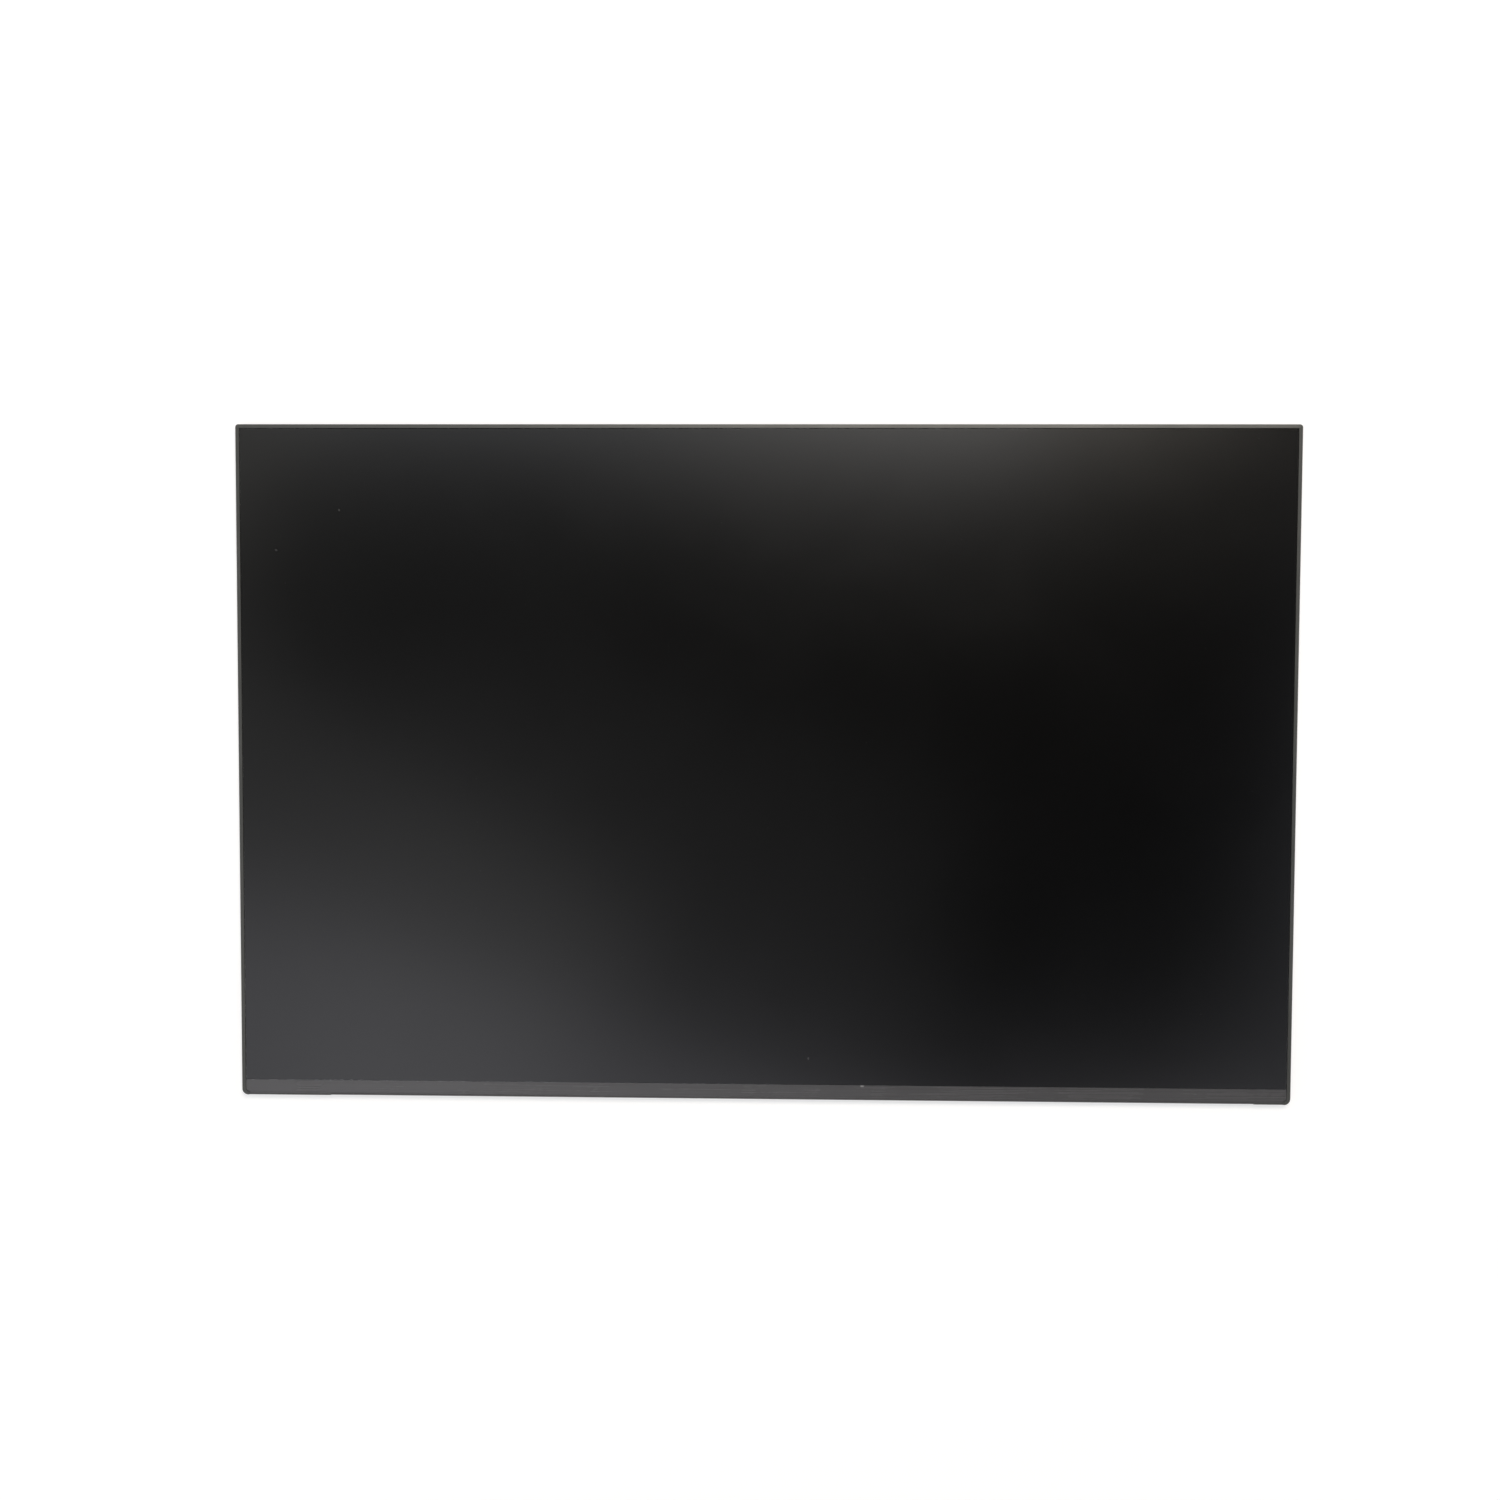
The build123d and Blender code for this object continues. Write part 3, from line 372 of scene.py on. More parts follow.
class Surface:
    """A material in the making. Layers change its colour, roughness and relief, and done joins them."""

    def __init__(self, name, colour, roughness, metallic=0.0, **constants):
        self.material = bpy.data.materials.new(name)
        self.material.use_nodes = True
        self.material.diffuse_color = (*colour, 1.0)
        self.graph = Graph(self.material.node_tree)
        self.shader = self.material.node_tree.nodes["Principled BSDF"]
        self.shader.inputs["Metallic"].default_value = metallic
        for socket, value in constants.items():
            self.shader.inputs[socket.replace("_", " ")].default_value = value
        self.position = self.graph.add("ShaderNodeTexCoord").outputs["Object"]
        self.sides = self.graph.split(self.position)
        self.colour = (*colour, 1.0)
        self.roughness = roughness
        self.height = 0.0

    def vary(self, mask, tone=0.0, gloss=0.0, depth=0.0):
        """Lets a mask change the tone and the roughness both ways, and raise the relief, in microns."""
        graph = self.graph
        if tone:
            colour = self.colour[:3] if isinstance(self.colour, tuple) else self.colour
            self.colour = graph.scaled(colour, graph.ramp(mask, 0.0, 1.0, 1.0 - tone, 1.0 + tone, "LINEAR"))
        if gloss:
            change = graph.ramp(mask, 0.0, 1.0, -gloss, gloss, "LINEAR")
            self.roughness = graph.calc("ADD", self.roughness, change)
        if depth:
            self.height = graph.calc("MULTIPLY_ADD", mask, depth, self.height)
        return self

    def tint(self, mask, colour, roughness=None, depth=0.0):
        """Lays another colour, and maybe another roughness, where a mask is."""
        graph = self.graph
        self.colour = graph.mixed(mask, self.colour, (*colour, 1.0))
        if roughness is not None:
            away = graph.calc("SUBTRACT", roughness, self.roughness)
            self.roughness = graph.calc("MULTIPLY_ADD", mask, away, self.roughness)
        if depth:
            self.height = graph.calc("MULTIPLY_ADD", mask, depth, self.height)
        return self

    def grain(self, size, tone=0.0, gloss=0.0, depth=0.0):
        mask = self.graph.use(fine_grain(), Position=self.position, Size=size)["Grain"]
        return self.vary(mask, tone, gloss, depth)

    def streaks(self, length, width, tone=0.0, gloss=0.0, depth=0.0):
        drawn = self.graph.use(drawn_streaks(), Position=self.position, Length=length, Width=width)
        return self.vary(drawn["Streak"], tone, gloss, depth)

    def smudges(self, size, tone=0.0, gloss=0.0):
        mask = self.graph.use(hand_smudges(), Position=self.position, Size=size)["Smudge"]
        return self.vary(mask, tone, gloss)

    def dust(self, spacing, size, share, colour):
        mask = self.graph.use(scattered_dust(), Position=self.position, Spacing=spacing, Size=size,
                              Share=share)["Dust"]
        return self.tint(mask, colour, 0.8)

    def scratches(self, turn, spacing, width, share, colour, depth):
        mask = self.graph.use(hair_scratches(), Position=self.position, Turn=turn, Spacing=spacing,
                              Width=width, Share=share)["Scratch"]
        return self.tint(mask, colour, depth=depth)

    def specks(self, specks):
        for speck in specks:
            place = (speck.x * MM, speck.y * MM, 0.0)
            mask = self.graph.use(lying_speck(), Position=self.position, Place=place,
                                  Turn=math.radians(speck.turn), Length=speck.length * MM,
                                  Width=speck.width * MM)["Speck"]
            self.tint(mask, (speck.level,) * 3, 0.8)
        return self

    def wear(self, radius, colour, roughness=None):
        mask = self.graph.use(edge_wear(), Position=self.position, Radius=radius)["Wear"]
        return self.tint(mask, colour, roughness)

    def band(self, axis, low, high, soft):
        """A mask of what lies between two levels of one axis."""
        side = self.sides[axis]
        graph = self.graph
        return graph.calc("MULTIPLY", graph.ramp(side, low - soft, low + soft),
                          graph.ramp(side, high + soft, high - soft))

    def ripple(self, axis, pitch):
        """A wave along one axis, from 0 up to 0.5 and back."""
        return self.graph.calc("PINGPONG", self.graph.calc("DIVIDE", self.sides[axis], pitch), 0.5)

    def facing(self, axis, sign):
        """A mask of the faces that look along one axis."""
        normal = self.graph.split(self.graph.add("ShaderNodeNewGeometry").outputs["True Normal"])[axis]
        return self.graph.ramp(self.graph.calc("MULTIPLY", normal, sign), 0.5, 0.7)

    def done(self):
        """Joins the layers to the shader and gives the material."""
        feed = self.graph.feed
        feed(self.shader.inputs["Base Color"], self.colour)
        feed(self.shader.inputs["Roughness"], self.roughness)
        if isinstance(self.height, bpy.types.NodeSocket):
            heights = {"Height": self.height, "Strength": 1.0, "Distance": MICRON}
            relief = self.graph.add("ShaderNodeBump", heights)
            feed(self.shader.inputs["Normal"], relief.outputs["Normal"])
        return self.material


def brighter(colour, factor):
    return tuple(min(1.0, factor * part) for part in colour)


def dress(material, *names):
    """Gives a material to CAD nodes."""
    for name in names:
        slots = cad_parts[name].material_slots
        if not slots:
            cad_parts[name].data.materials.append(material)
        for slot in slots:
            slot.material = material


def add_piece(name, shape, material):
    """A new piece of the panel, made from a finished bmesh."""
    bmesh.ops.recalc_face_normals(shape, faces=shape.faces)
    mesh = bpy.data.meshes.new(name)
    shape.to_mesh(mesh)
    shape.free()
    mesh.materials.append(material)
    piece = bpy.data.objects.new(name, mesh)
    bpy.context.scene.collection.objects.link(piece)
    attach(piece, BODY)
    return piece


def solids_of(name):
    """The lowest and highest corner of each separate solid in a CAD node."""
    shape = bmesh.new()
    shape.from_mesh(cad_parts[name].data)
    bmesh.ops.remove_doubles(shape, verts=shape.verts, dist=MICRON)
    found = []
    left = set(shape.verts)
    while left:
        waiting = [left.pop()]
        low = waiting[0].co.copy()
        high = low.copy()
        while waiting:
            corner = waiting.pop()
            low = Vector(map(min, low, corner.co))
            high = Vector(map(max, high, corner.co))
            for edge in corner.link_edges:
                other = edge.other_vert(corner)
                if other in left:
                    left.remove(other)
                    waiting.append(other)
        found.append((low, high))
    shape.free()
    return found


def middle(box):
    return (box[0] + box[1]) / 2


def prism(shape, outline, place, outward, width, narrowing=1.0):
    """A bar across a place on the board. Its outline is in steps outward and away from the board."""
    sideways = Vector((-outward.y, outward.x, 0))
    rings = []
    for side in (-0.5, 0.5):
        ring = []
        for out, off in outline:
            share = 1.0 if off <= 0 else narrowing
            spot = place + outward * out + sideways * (side * width * share)
            ring.append(shape.verts.new((spot.x, spot.y, BOARD_LOW.z - off)))
        rings.append(ring)
    for ring in rings:
        shape.faces.new(ring)
    count = len(outline)
    for i in range(count):
        follower = (i + 1) % count
        shape.faces.new((rings[0][i], rings[0][follower], rings[1][follower], rings[1][i]))


def solder_ramp(shape, place, outward, width, reach, rise):
    """Solder that has drawn up against a terminal: a hollow ramp, narrower at its top."""
    outline = [(0.0, 0.0)]
    for i in range(SOLDER_STEPS + 1):
        turn = math.radians(90 * i / SOLDER_STEPS)
        outline.append((reach * (1 - math.cos(turn)), rise * (1 - math.sin(turn))))
    prism(shape, outline, place, outward, width, narrowing=SOLDER_TOP)


def gull_wing(shape, place, outward, width, reach, rise, sheet):
    """A lead that leaves a package half-way up and steps down to a flat foot."""
    knee = 0.3 * reach
    heel = 0.55 * reach
    upper = [(0, rise), (knee, rise), (heel, sheet), (reach, sheet)]
    lower = [(reach, 0), (heel - 0.5 * sheet, 0), (knee - 0.5 * sheet, rise - sheet), (0, rise - sheet)]
    outline = upper + lower
    prism(shape, outline, place, outward, width)


def dome(shape, place, radius, rise):
    """A low round dome on the board."""
    around = 20
    rings = [(1.0, 0.0), (0.92, 0.55), (0.6, 0.88)]
    loops = []
    for share, lift in rings:
        loop = []
        for i in range(around):
            turn = 2 * math.pi * i / around
            loop.append(shape.verts.new((place.x + radius * share * math.cos(turn),
                                         place.y + radius * share * math.sin(turn),
                                         BOARD_LOW.z - rise * lift)))
        loops.append(loop)
    for outer, inner in zip(loops, loops[1:]):
        for i in range(around):
            follower = (i + 1) % around
            shape.faces.new((outer[i], outer[follower], inner[follower], inner[i]))
    top = shape.verts.new((place.x, place.y, BOARD_LOW.z - rise))
    for i in range(around):
        shape.faces.new((loops[-1][i], loops[-1][(i + 1) % around], top))
    shape.faces.new(loops[0])


class FinishSettings(bpy.types.PropertyGroup):
    """Colours and gloss of the panel's surfaces."""

    face_colour: FloatVectorProperty(
        name="Face", description="Black of the picture area", subtype="COLOR",
        default=(0.0002, 0.0002, 0.0002))
    edge_colour: FloatVectorProperty(
        name="Face edge", description="Cut edge of the face", subtype="COLOR",
        default=(0.022, 0.022, 0.021))
    face_roughness: FloatProperty(
        name="Face roughness", description="Matte finish of the face", subtype="FACTOR",
        default=0.205, min=0.05, max=0.6)
    tape_colour: FloatVectorProperty(
        name="Tape", description="Black polyester tape", subtype="COLOR", default=(0.060, 0.059, 0.060))
    frame_colour: FloatVectorProperty(
        name="Frame", description="Moulded frame", subtype="COLOR", default=(0.060, 0.062, 0.058))
    rim_crown: FloatProperty(
        name="Rim crown", description="How far the rim's outer edge rounds down", unit="LENGTH",
        default=-0.12 * MM)
    cover_colour: FloatVectorProperty(
        name="Cover", description="Aluminium back cover", subtype="COLOR", default=(0.38, 0.39, 0.40))
    mask_colour: FloatVectorProperty(
        name="Board", description="Solder mask of the board", subtype="COLOR",
        default=(0.010, 0.075, 0.036))
    film_colour: FloatVectorProperty(
        name="Film", description="Polyimide of the flexible circuits", subtype="COLOR",
        default=(0.40, 0.16, 0.03))


class DetailSettings(bpy.types.PropertyGroup):
    """Sizes of the soldering and of the dust."""

    lead_pitch: FloatProperty(
        name="Lead pitch", description="Step between the leads of a chip", unit="LENGTH", default=0.5 * MM)
    lead_width: FloatProperty(
        name="Lead width", description="Width of a chip's lead", unit="LENGTH", default=0.24 * MM)
    solder_reach: FloatProperty(
        name="Solder reach", description="How far solder spreads", unit="LENGTH", default=0.22 * MM)
    test_pads: IntProperty(
        name="Test pads", description="Test pads in a full row", default=8, min=0, max=20)
    test_pad_radius: FloatProperty(
        name="Test pad radius", description="Radius of a test pad", unit="LENGTH", default=0.45 * MM)
    dust_share: FloatProperty(
        name="Dust", description="Share of places that hold a dust grain", subtype="FACTOR",
        default=0.12, min=0.0, max=1.0)


class StageSettings(bpy.types.PropertyGroup):
    """Camera, lamps and floor. The camera was solved from the panel's outline in the photograph."""

    camera_place: FloatVectorProperty(
        name="Camera", description="Where the camera stands", subtype="TRANSLATION",
        default=(10.2 * MM, 30.9 * MM, 522.8 * MM))
    camera_turn: FloatVectorProperty(
        name="Camera turn", description="How the camera is turned", subtype="EULER",
        default=tuple(math.radians(a) for a in (-2.914, 1.568, 0.209)))
    lens: FloatProperty(
        name="Lens", description="Focal length on a 36 mm frame, in millimetres", default=43.2)
    lamp_level: FloatProperty(
        name="Lamps", description="Brightness of all softboxes", subtype="FACTOR",
        default=1.0, min=0.0, max=4.0)
    floor_radius: FloatProperty(
        name="Floor", description="Radius of the floor", unit="LENGTH", default=6.0)


def face_finish(settings, detail):
    """Matte black front film over the picture area."""
    skin = Surface("matte_face", settings.face_colour, settings.face_roughness, IOR=1.5)
    soft = 0.14 * MM
    inside = skin.graph.calc("MULTIPLY", skin.band("X", FACE_LOW.x, FACE_HIGH.x, soft),
                             skin.band("Y", FACE_LOW.y, FACE_HIGH.y, soft))
    skin.tint(skin.graph.ramp(inside, 0.9, 0.5), settings.edge_colour)
    skin.smudges(0.06, tone=0.06, gloss=0.006)
    skin.grain(0.09 * MM, gloss=0.01, depth=0.12)
    skin.dust(14 * MM, 0.16 * MM, detail.dust_share, (0.03, 0.03, 0.03))
    skin.specks(FACE_SPECKS)
    return skin.done()


def dark_film_finish():
    """Rear polarising film, a smooth dark grey."""
    skin = Surface("dark_film", (0.030, 0.028, 0.032), 0.2, IOR=1.5)
    skin.smudges(0.04, tone=0.1, gloss=0.03)
    skin.streaks(0.08, 0.6 * MM, tone=0.05, depth=0.1)
    return skin.done()


def glass_finish():
    """Thin display glass with ground edges."""
    skin = Surface("display_glass", (0.86, 0.96, 0.92), 0.06, IOR=1.52, Transmission_Weight=1.0)
    skin.smudges(0.03, tone=0.02, gloss=0.02)
    skin.grain(0.05 * MM, gloss=0.03, depth=0.2)
    return skin.done()


def frame_finish(settings, detail):
    """Black moulded plastic with a fine eroded texture and rubbed edges."""
    skin = Surface("frame_plastic", settings.frame_colour, 0.42, IOR=1.5)
    graph = skin.graph
    over = [graph.calc("SUBTRACT", graph.calc("ABSOLUTE", skin.sides[axis]), high)
            for axis, high in (("X", FACE_HIGH.x), ("Y", FACE_HIGH.y))]
    crown = graph.calc("MAXIMUM", graph.calc("MAXIMUM", *over), 0.0)
    crown = graph.calc("POWER", graph.calc("DIVIDE", crown, RIM), 2.0)
    skin.vary(crown, depth=settings.rim_crown / MICRON)
    skin.smudges(0.02, tone=0.08, gloss=0.04)
    skin.grain(0.07 * MM, tone=0.12, gloss=0.05, depth=1.2)
    skin.grain(0.5 * MM, tone=0.05)
    skin.wear(0.12 * MM, (0.085, 0.084, 0.08), 0.42)
    skin.dust(5 * MM, 0.12 * MM, detail.dust_share, (0.2, 0.2, 0.19))
    return skin.done()


def tape_finish(settings, detail):
    """Black polyester tape: streaks, a pale cut edge, a crease and the films' edges showing through."""
    skin = Surface("black_tape", settings.tape_colour, 0.25, IOR=1.5)
    skin.streaks(0.03, 0.35 * MM, tone=0.07, gloss=0.04, depth=0.8)
    skin.smudges(0.025, tone=0.05, gloss=0.03)
    skin.grain(0.12 * MM, tone=0.05, depth=0.4)
    # Painted highlight: a lighter line along the tape's top edge
    skin.tint(skin.band("Y", TAPE_START - 0.3 * MM, TAPE_START, 0.1 * MM), (0.068, 0.067, 0.068))
    # Painted shade: a darker, rougher band along the crease where the tape starts to bend
    skin.tint(skin.band("Y", CREASE - 0.10 * MM, CREASE + 0.10 * MM, 0.1 * MM), (0.048, 0.047, 0.048), 0.4)
    # Painted highlight: the folded edge below the crease made lighter, standing in for its reflection
    skin.tint(skin.band("Y", TAPE_LOW.y - 1 * MM, CREASE - 0.2 * MM, 0.15 * MM), (0.072, 0.071, 0.072))
    for name in DRIVER_FILMS:
        low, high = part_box(name)
        skin.vary(skin.band("X", low.x, high.x, 0.25 * MM), depth=18.0)
    skin.dust(7 * MM, 0.14 * MM, detail.dust_share, (0.22, 0.22, 0.22))
    skin.specks(TAPE_SPECKS)
    return skin.done()


def inner_tape_finish(name, colour):
    """Double-sided tape: a film with a soft, slightly uneven adhesive face."""
    skin = Surface(name, colour, 0.6, IOR=1.47)
    skin.smudges(0.01, tone=0.08, gloss=0.08)
    skin.grain(0.2 * MM, tone=0.08, depth=2.0)
    return skin.done()


def frosted_finish(name, size):
    """White diffusing film with beads in its surface."""
    skin = Surface(name, (0.84, 0.85, 0.86), 0.55, IOR=1.49)
    skin.grain(size, tone=0.03, gloss=0.08, depth=3.0)
    skin.smudges(0.05, tone=0.02)
    return skin.done()


def prism_finish(name, axis):
    """Clear film whose face is ribbed with fine prisms along one axis."""
    skin = Surface(name, (0.78, 0.80, 0.82), 0.22, IOR=1.55)
    skin.vary(skin.ripple(axis, 0.05 * MM), tone=0.1, depth=24.0)
    skin.smudges(0.04, tone=0.03, gloss=0.04)
    return skin.done()


def guide_finish():
    """Clear acrylic light guide, printed with white dots that crowd away from the lamps."""
    skin = Surface("light_guide", (0.93, 0.95, 0.94), 0.05, IOR=1.49, Transmission_Weight=1.0)
    graph = skin.graph
    dot_pitch = 0.6 * MM
    rows = {"Vector": skin.position, "Scale": 1 / dot_pitch, "Randomness": 0.15}
    cells = graph.add("ShaderNodeTexVoronoi", rows, voronoi_dimensions="2D")
    radius = graph.ramp(skin.sides["Y"], FACE_LOW.y, FACE_HIGH.y, 0.14, 0.4, "LINEAR")
    dots = graph.calc("LESS_THAN", cells.outputs["Distance"], radius)
    skin.tint(graph.calc("MULTIPLY", dots, skin.facing("Z", -1.0)), (0.97, 0.97, 0.96), 0.6, depth=4.0)
    skin.smudges(0.05, gloss=0.02)
    return skin.done()


def lamp_finish():
    """White lamp body with a yellow phosphor window towards the light guide."""
    skin = Surface("lamp_body", (0.80, 0.79, 0.75), 0.45, IOR=1.5)
    skin.grain(0.06 * MM, tone=0.05, depth=1.0)
    recess = skin.band("Y", LAMPS_HIGH.y - 0.14 * MM, LAMPS_HIGH.y - 0.10 * MM, 0.01 * MM)
    phosphor = skin.graph.calc("MULTIPLY", skin.facing("Y", 1.0), recess)
    skin.tint(phosphor, (0.80, 0.56, 0.08), 0.7)
    skin.wear(0.03 * MM, (0.88, 0.87, 0.84))
    return skin.done()


def flex_finish(name, colour, track_colour, pitch, axis):
    """Flexible circuit: copper lines under a thin coloured film."""
    skin = Surface(name, colour, 0.3, IOR=1.6)
    line = skin.graph.ramp(skin.ripple(axis, pitch), 0.2, 0.28)
    skin.tint(line, track_colour, 0.26, depth=4.0)
    skin.smudges(0.015, tone=0.08, gloss=0.06)
    skin.grain(0.15 * MM, tone=0.04, depth=0.6)
    return skin.done()


def cover_finish(settings, detail):
    """Rolled aluminium sheet: grain along its length, handling marks and bright folded edges."""
    skin = Surface("cover_metal", settings.cover_colour, 0.36, metallic=1.0)
    skin.streaks(0.05, 0.12 * MM, tone=0.05, gloss=0.06, depth=0.9)
    skin.streaks(0.2, 2.5 * MM, tone=0.03, gloss=0.03)
    skin.smudges(0.05, tone=0.02, gloss=0.05)
    for turn, share in ((0.35, 0.10), (-0.9, 0.07), (1.9, 0.06)):
        skin.scratches(turn, 9 * MM, 0.07 * MM, share, (0.70, 0.71, 0.72), depth=-1.5)
    skin.wear(0.10 * MM, (0.58, 0.58, 0.58), 0.30)
    skin.dust(8 * MM, 0.15 * MM, detail.dust_share, (0.45, 0.45, 0.44))
    return skin.done()


def silicon_finish():
    """Thinned silicon die, smooth and dark with saw marks along its edges."""
    skin = Surface("silicon", (0.10, 0.10, 0.12), 0.16, IOR=2.6)
    skin.streaks(0.004, 0.03 * MM, tone=0.08, gloss=0.03, depth=0.2)
    skin.wear(0.04 * MM, (0.2, 0.2, 0.22), 0.4)
    return skin.done()


def board_finish(settings, detail):
    """Green solder mask over copper tracks and filled vias, with bare laminate at the cut edge."""
    skin = Surface("board_laminate", settings.mask_colour, 0.32, IOR=1.55)
    etched = skin.graph.use(etched_tracks(), Position=skin.position, Pitch=0.42 * MM, Patch=5.5 * MM)
    skin.tint(etched["Track"], brighter(settings.mask_colour, 1.8), 0.28, depth=16.0)
    skin.tint(etched["Via"], (0.42, 0.40, 0.30), 0.3, depth=6.0)
    skin.smudges(0.012, tone=0.08, gloss=0.05)
    skin.grain(0.1 * MM, tone=0.04, depth=0.6)
    flat = skin.graph.calc("MAXIMUM", skin.facing("Z", 1.0), skin.facing("Z", -1.0))
    skin.tint(skin.graph.calc("SUBTRACT", 1.0, flat), (0.34, 0.28, 0.13), 0.7)
    skin.dust(4 * MM, 0.1 * MM, detail.dust_share, (0.3, 0.3, 0.28))
    return skin.done()


def foil_finish():
    """Conductive cloth: a plain weave plated with metal, creased where it steps down."""
    skin = Surface("ground_foil", (0.60, 0.55, 0.47), 0.38, metallic=1.0)
    thread = skin.graph.use(plain_weave(), Position=skin.position, Pitch=0.16 * MM)["Thread"]
    skin.vary(thread, tone=0.14, gloss=0.06, depth=14.0)
    skin.smudges(0.006, tone=0.1, gloss=0.06)
    skin.grain(1.2 * MM, depth=20.0)
    return skin.done()


def metal_finish(name, colour, roughness, streak=0.02 * MM):
    """Plated metal: drawn lines, a few scratches and brighter edges."""
    skin = Surface(name, colour, roughness, metallic=1.0)
    skin.streaks(1.5 * MM, streak, tone=0.05, gloss=0.05, depth=0.4)
    skin.smudges(0.004, tone=0.06, gloss=0.05)
    skin.scratches(0.6, 3 * MM, 0.03 * MM, 0.15, brighter(colour, 1.15), depth=-0.8)
    skin.wear(0.03 * MM, brighter(colour, 1.2))
    return skin.done()


def moulded_finish(name, colour, roughness, grain=0.06 * MM, edge=2.0):
    """Moulded or pressed body: a fine grain, uneven gloss and paler edges."""
    skin = Surface(name, colour, roughness, IOR=1.53)
    skin.grain(grain, tone=0.14, gloss=0.07, depth=1.6)
    skin.smudges(0.003, tone=0.06, gloss=0.05)
    skin.wear(0.05 * MM, brighter(colour, edge))
    return skin.done()


def diode_finish():
    """Moulded diode with a pale band at its cathode end and bare tabs against the board."""
    skin = Surface("diode_resin", (0.024, 0.024, 0.025), 0.5, IOR=1.53)
    skin.grain(0.05 * MM, tone=0.14, gloss=0.07, depth=1.5)
    band_inset = 0.42 * MM
    band_width = 0.32 * MM
    tab_height = 0.095 * MM
    soft = 0.01 * MM
    for low, high in solids_of("diodes"):
        end = low.x + band_inset
        there = skin.graph.calc("MULTIPLY", skin.band("X", end, end + band_width, soft),
                                skin.band("Y", low.y, high.y, soft))
        skin.tint(skin.graph.calc("MULTIPLY", there, skin.facing("Z", -1.0)), (0.55, 0.55, 0.54), 0.55)
    tabs = skin.band("Z", BOARD_LOW.z - tab_height, BOARD_LOW.z, 0.004 * MM)
    skin.tint(tabs, (0.6, 0.6, 0.6), 0.35)
    return skin.done()


def resistor_finish():
    """White ceramic chip with a black glaze on the side away from the board."""
    skin = Surface("resistor_film", (0.74, 0.73, 0.70), 0.5, IOR=1.5)
    skin.grain(0.04 * MM, tone=0.05, depth=0.6)
    skin.tint(skin.facing("Z", -1.0), (0.018, 0.018, 0.02), 0.22)
    skin.smudges(0.002, gloss=0.05)
    return skin.done()


def solder_finish():
    """Bright solder with a faintly crystalline skin."""
    skin = Surface("solder", (0.66, 0.66, 0.67), 0.24, metallic=1.0)
    skin.grain(0.05 * MM, tone=0.06, gloss=0.08, depth=1.2)
    skin.smudges(0.002, tone=0.08, gloss=0.06)
    return skin.done()


class SCREEN_PANEL_OT_face(bpy.types.Operator):
    """Finish the matte face and the sheets of the cell behind it"""

    bl_idname = "screen_panel.face"
    bl_label = "Face and cell"
    bl_options = {"REGISTER", "UNDO"}

    def execute(self, context):
        scene = context.scene
        dress(face_finish(scene.panel_finish, scene.panel_detail), "front_polariser")
        dress(dark_film_finish(), "rear_polariser")
        dress(glass_finish(), "colour_filter_glass", "array_glass")
        dress(inner_tape_finish("rim_tape_black", (0.014, 0.014, 0.014)), "rim_tape")
        return {"FINISHED"}


class SCREEN_PANEL_OT_backlight(bpy.types.Operator):
    """Finish the sheets, lamps and lamp circuit of the backlight"""

    bl_idname = "screen_panel.backlight"
    bl_label = "Backlight"
    bl_options = {"REGISTER", "UNDO"}

    def execute(self, context):
        dress(frosted_finish("upper_frosting", 0.04 * MM), "upper_diffuser")
        dress(frosted_finish("lower_frosting", 0.08 * MM), "lower_diffuser")
        dress(prism_finish("upright_prisms", "X"), "upper_prism_sheet")
        dress(prism_finish("level_prisms", "Y"), "lower_prism_sheet")
        dress(guide_finish(), "light_guide_plate")
        dress(frosted_finish("reflector_white", 0.3 * MM), "reflector_sheet")
        dress(lamp_finish(), "lamps")
        white, track = (0.74, 0.73, 0.68), (0.80, 0.78, 0.70)
        dress(flex_finish("lamp_circuit", white, track, 1.1 * MM, "Y"), "lamp_strip")
        dress(inner_tape_finish("clear_adhesive", (0.58, 0.56, 0.48)), "lamp_strip_tape", "board_tape")
        return {"FINISHED"}


class SCREEN_PANEL_OT_frame(bpy.types.Operator):
    """Finish the moulded frame"""

    bl_idname = "screen_panel.frame"
    bl_label = "Frame"
    bl_options = {"REGISTER", "UNDO"}

    def execute(self, context):
        scene = context.scene
        dress(frame_finish(scene.panel_finish, scene.panel_detail), "mould_frame")
        return {"FINISHED"}


class SCREEN_PANEL_OT_tape(bpy.types.Operator):
    """Finish the black tape along the bottom"""

    bl_idname = "screen_panel.tape"
    bl_label = "Bottom tape"
    bl_options = {"REGISTER", "UNDO"}

    def execute(self, context):
        scene = context.scene
        dress(tape_finish(scene.panel_finish, scene.panel_detail), "bottom_tape")
        return {"FINISHED"}


class SCREEN_PANEL_OT_cover(bpy.types.Operator):
    """Finish the aluminium cover and the grounding foils that are stuck to it"""

    bl_idname = "screen_panel.cover"
    bl_label = "Back cover and foils"
    bl_options = {"REGISTER", "UNDO"}

    def execute(self, context):
        scene = context.scene
        dress(cover_finish(scene.panel_finish, scene.panel_detail), "back_cover")
        dress(foil_finish(), "ground_foil_left", "ground_foil_right")
        return {"FINISHED"}


class SCREEN_PANEL_OT_films(bpy.types.Operator):
    """Finish the driver films and their chips"""

    bl_idname = "screen_panel.films"
    bl_label = "Driver films"
    bl_options = {"REGISTER", "UNDO"}

    def execute(self, context):
        amber = context.scene.panel_finish.film_colour
        copper = (0.52, 0.24, 0.07)
        dress(flex_finish("driver_film", amber, copper, 0.12 * MM, "X"), *DRIVER_FILMS)
        dress(silicon_finish(), *DRIVER_CHIPS)
        return {"FINISHED"}


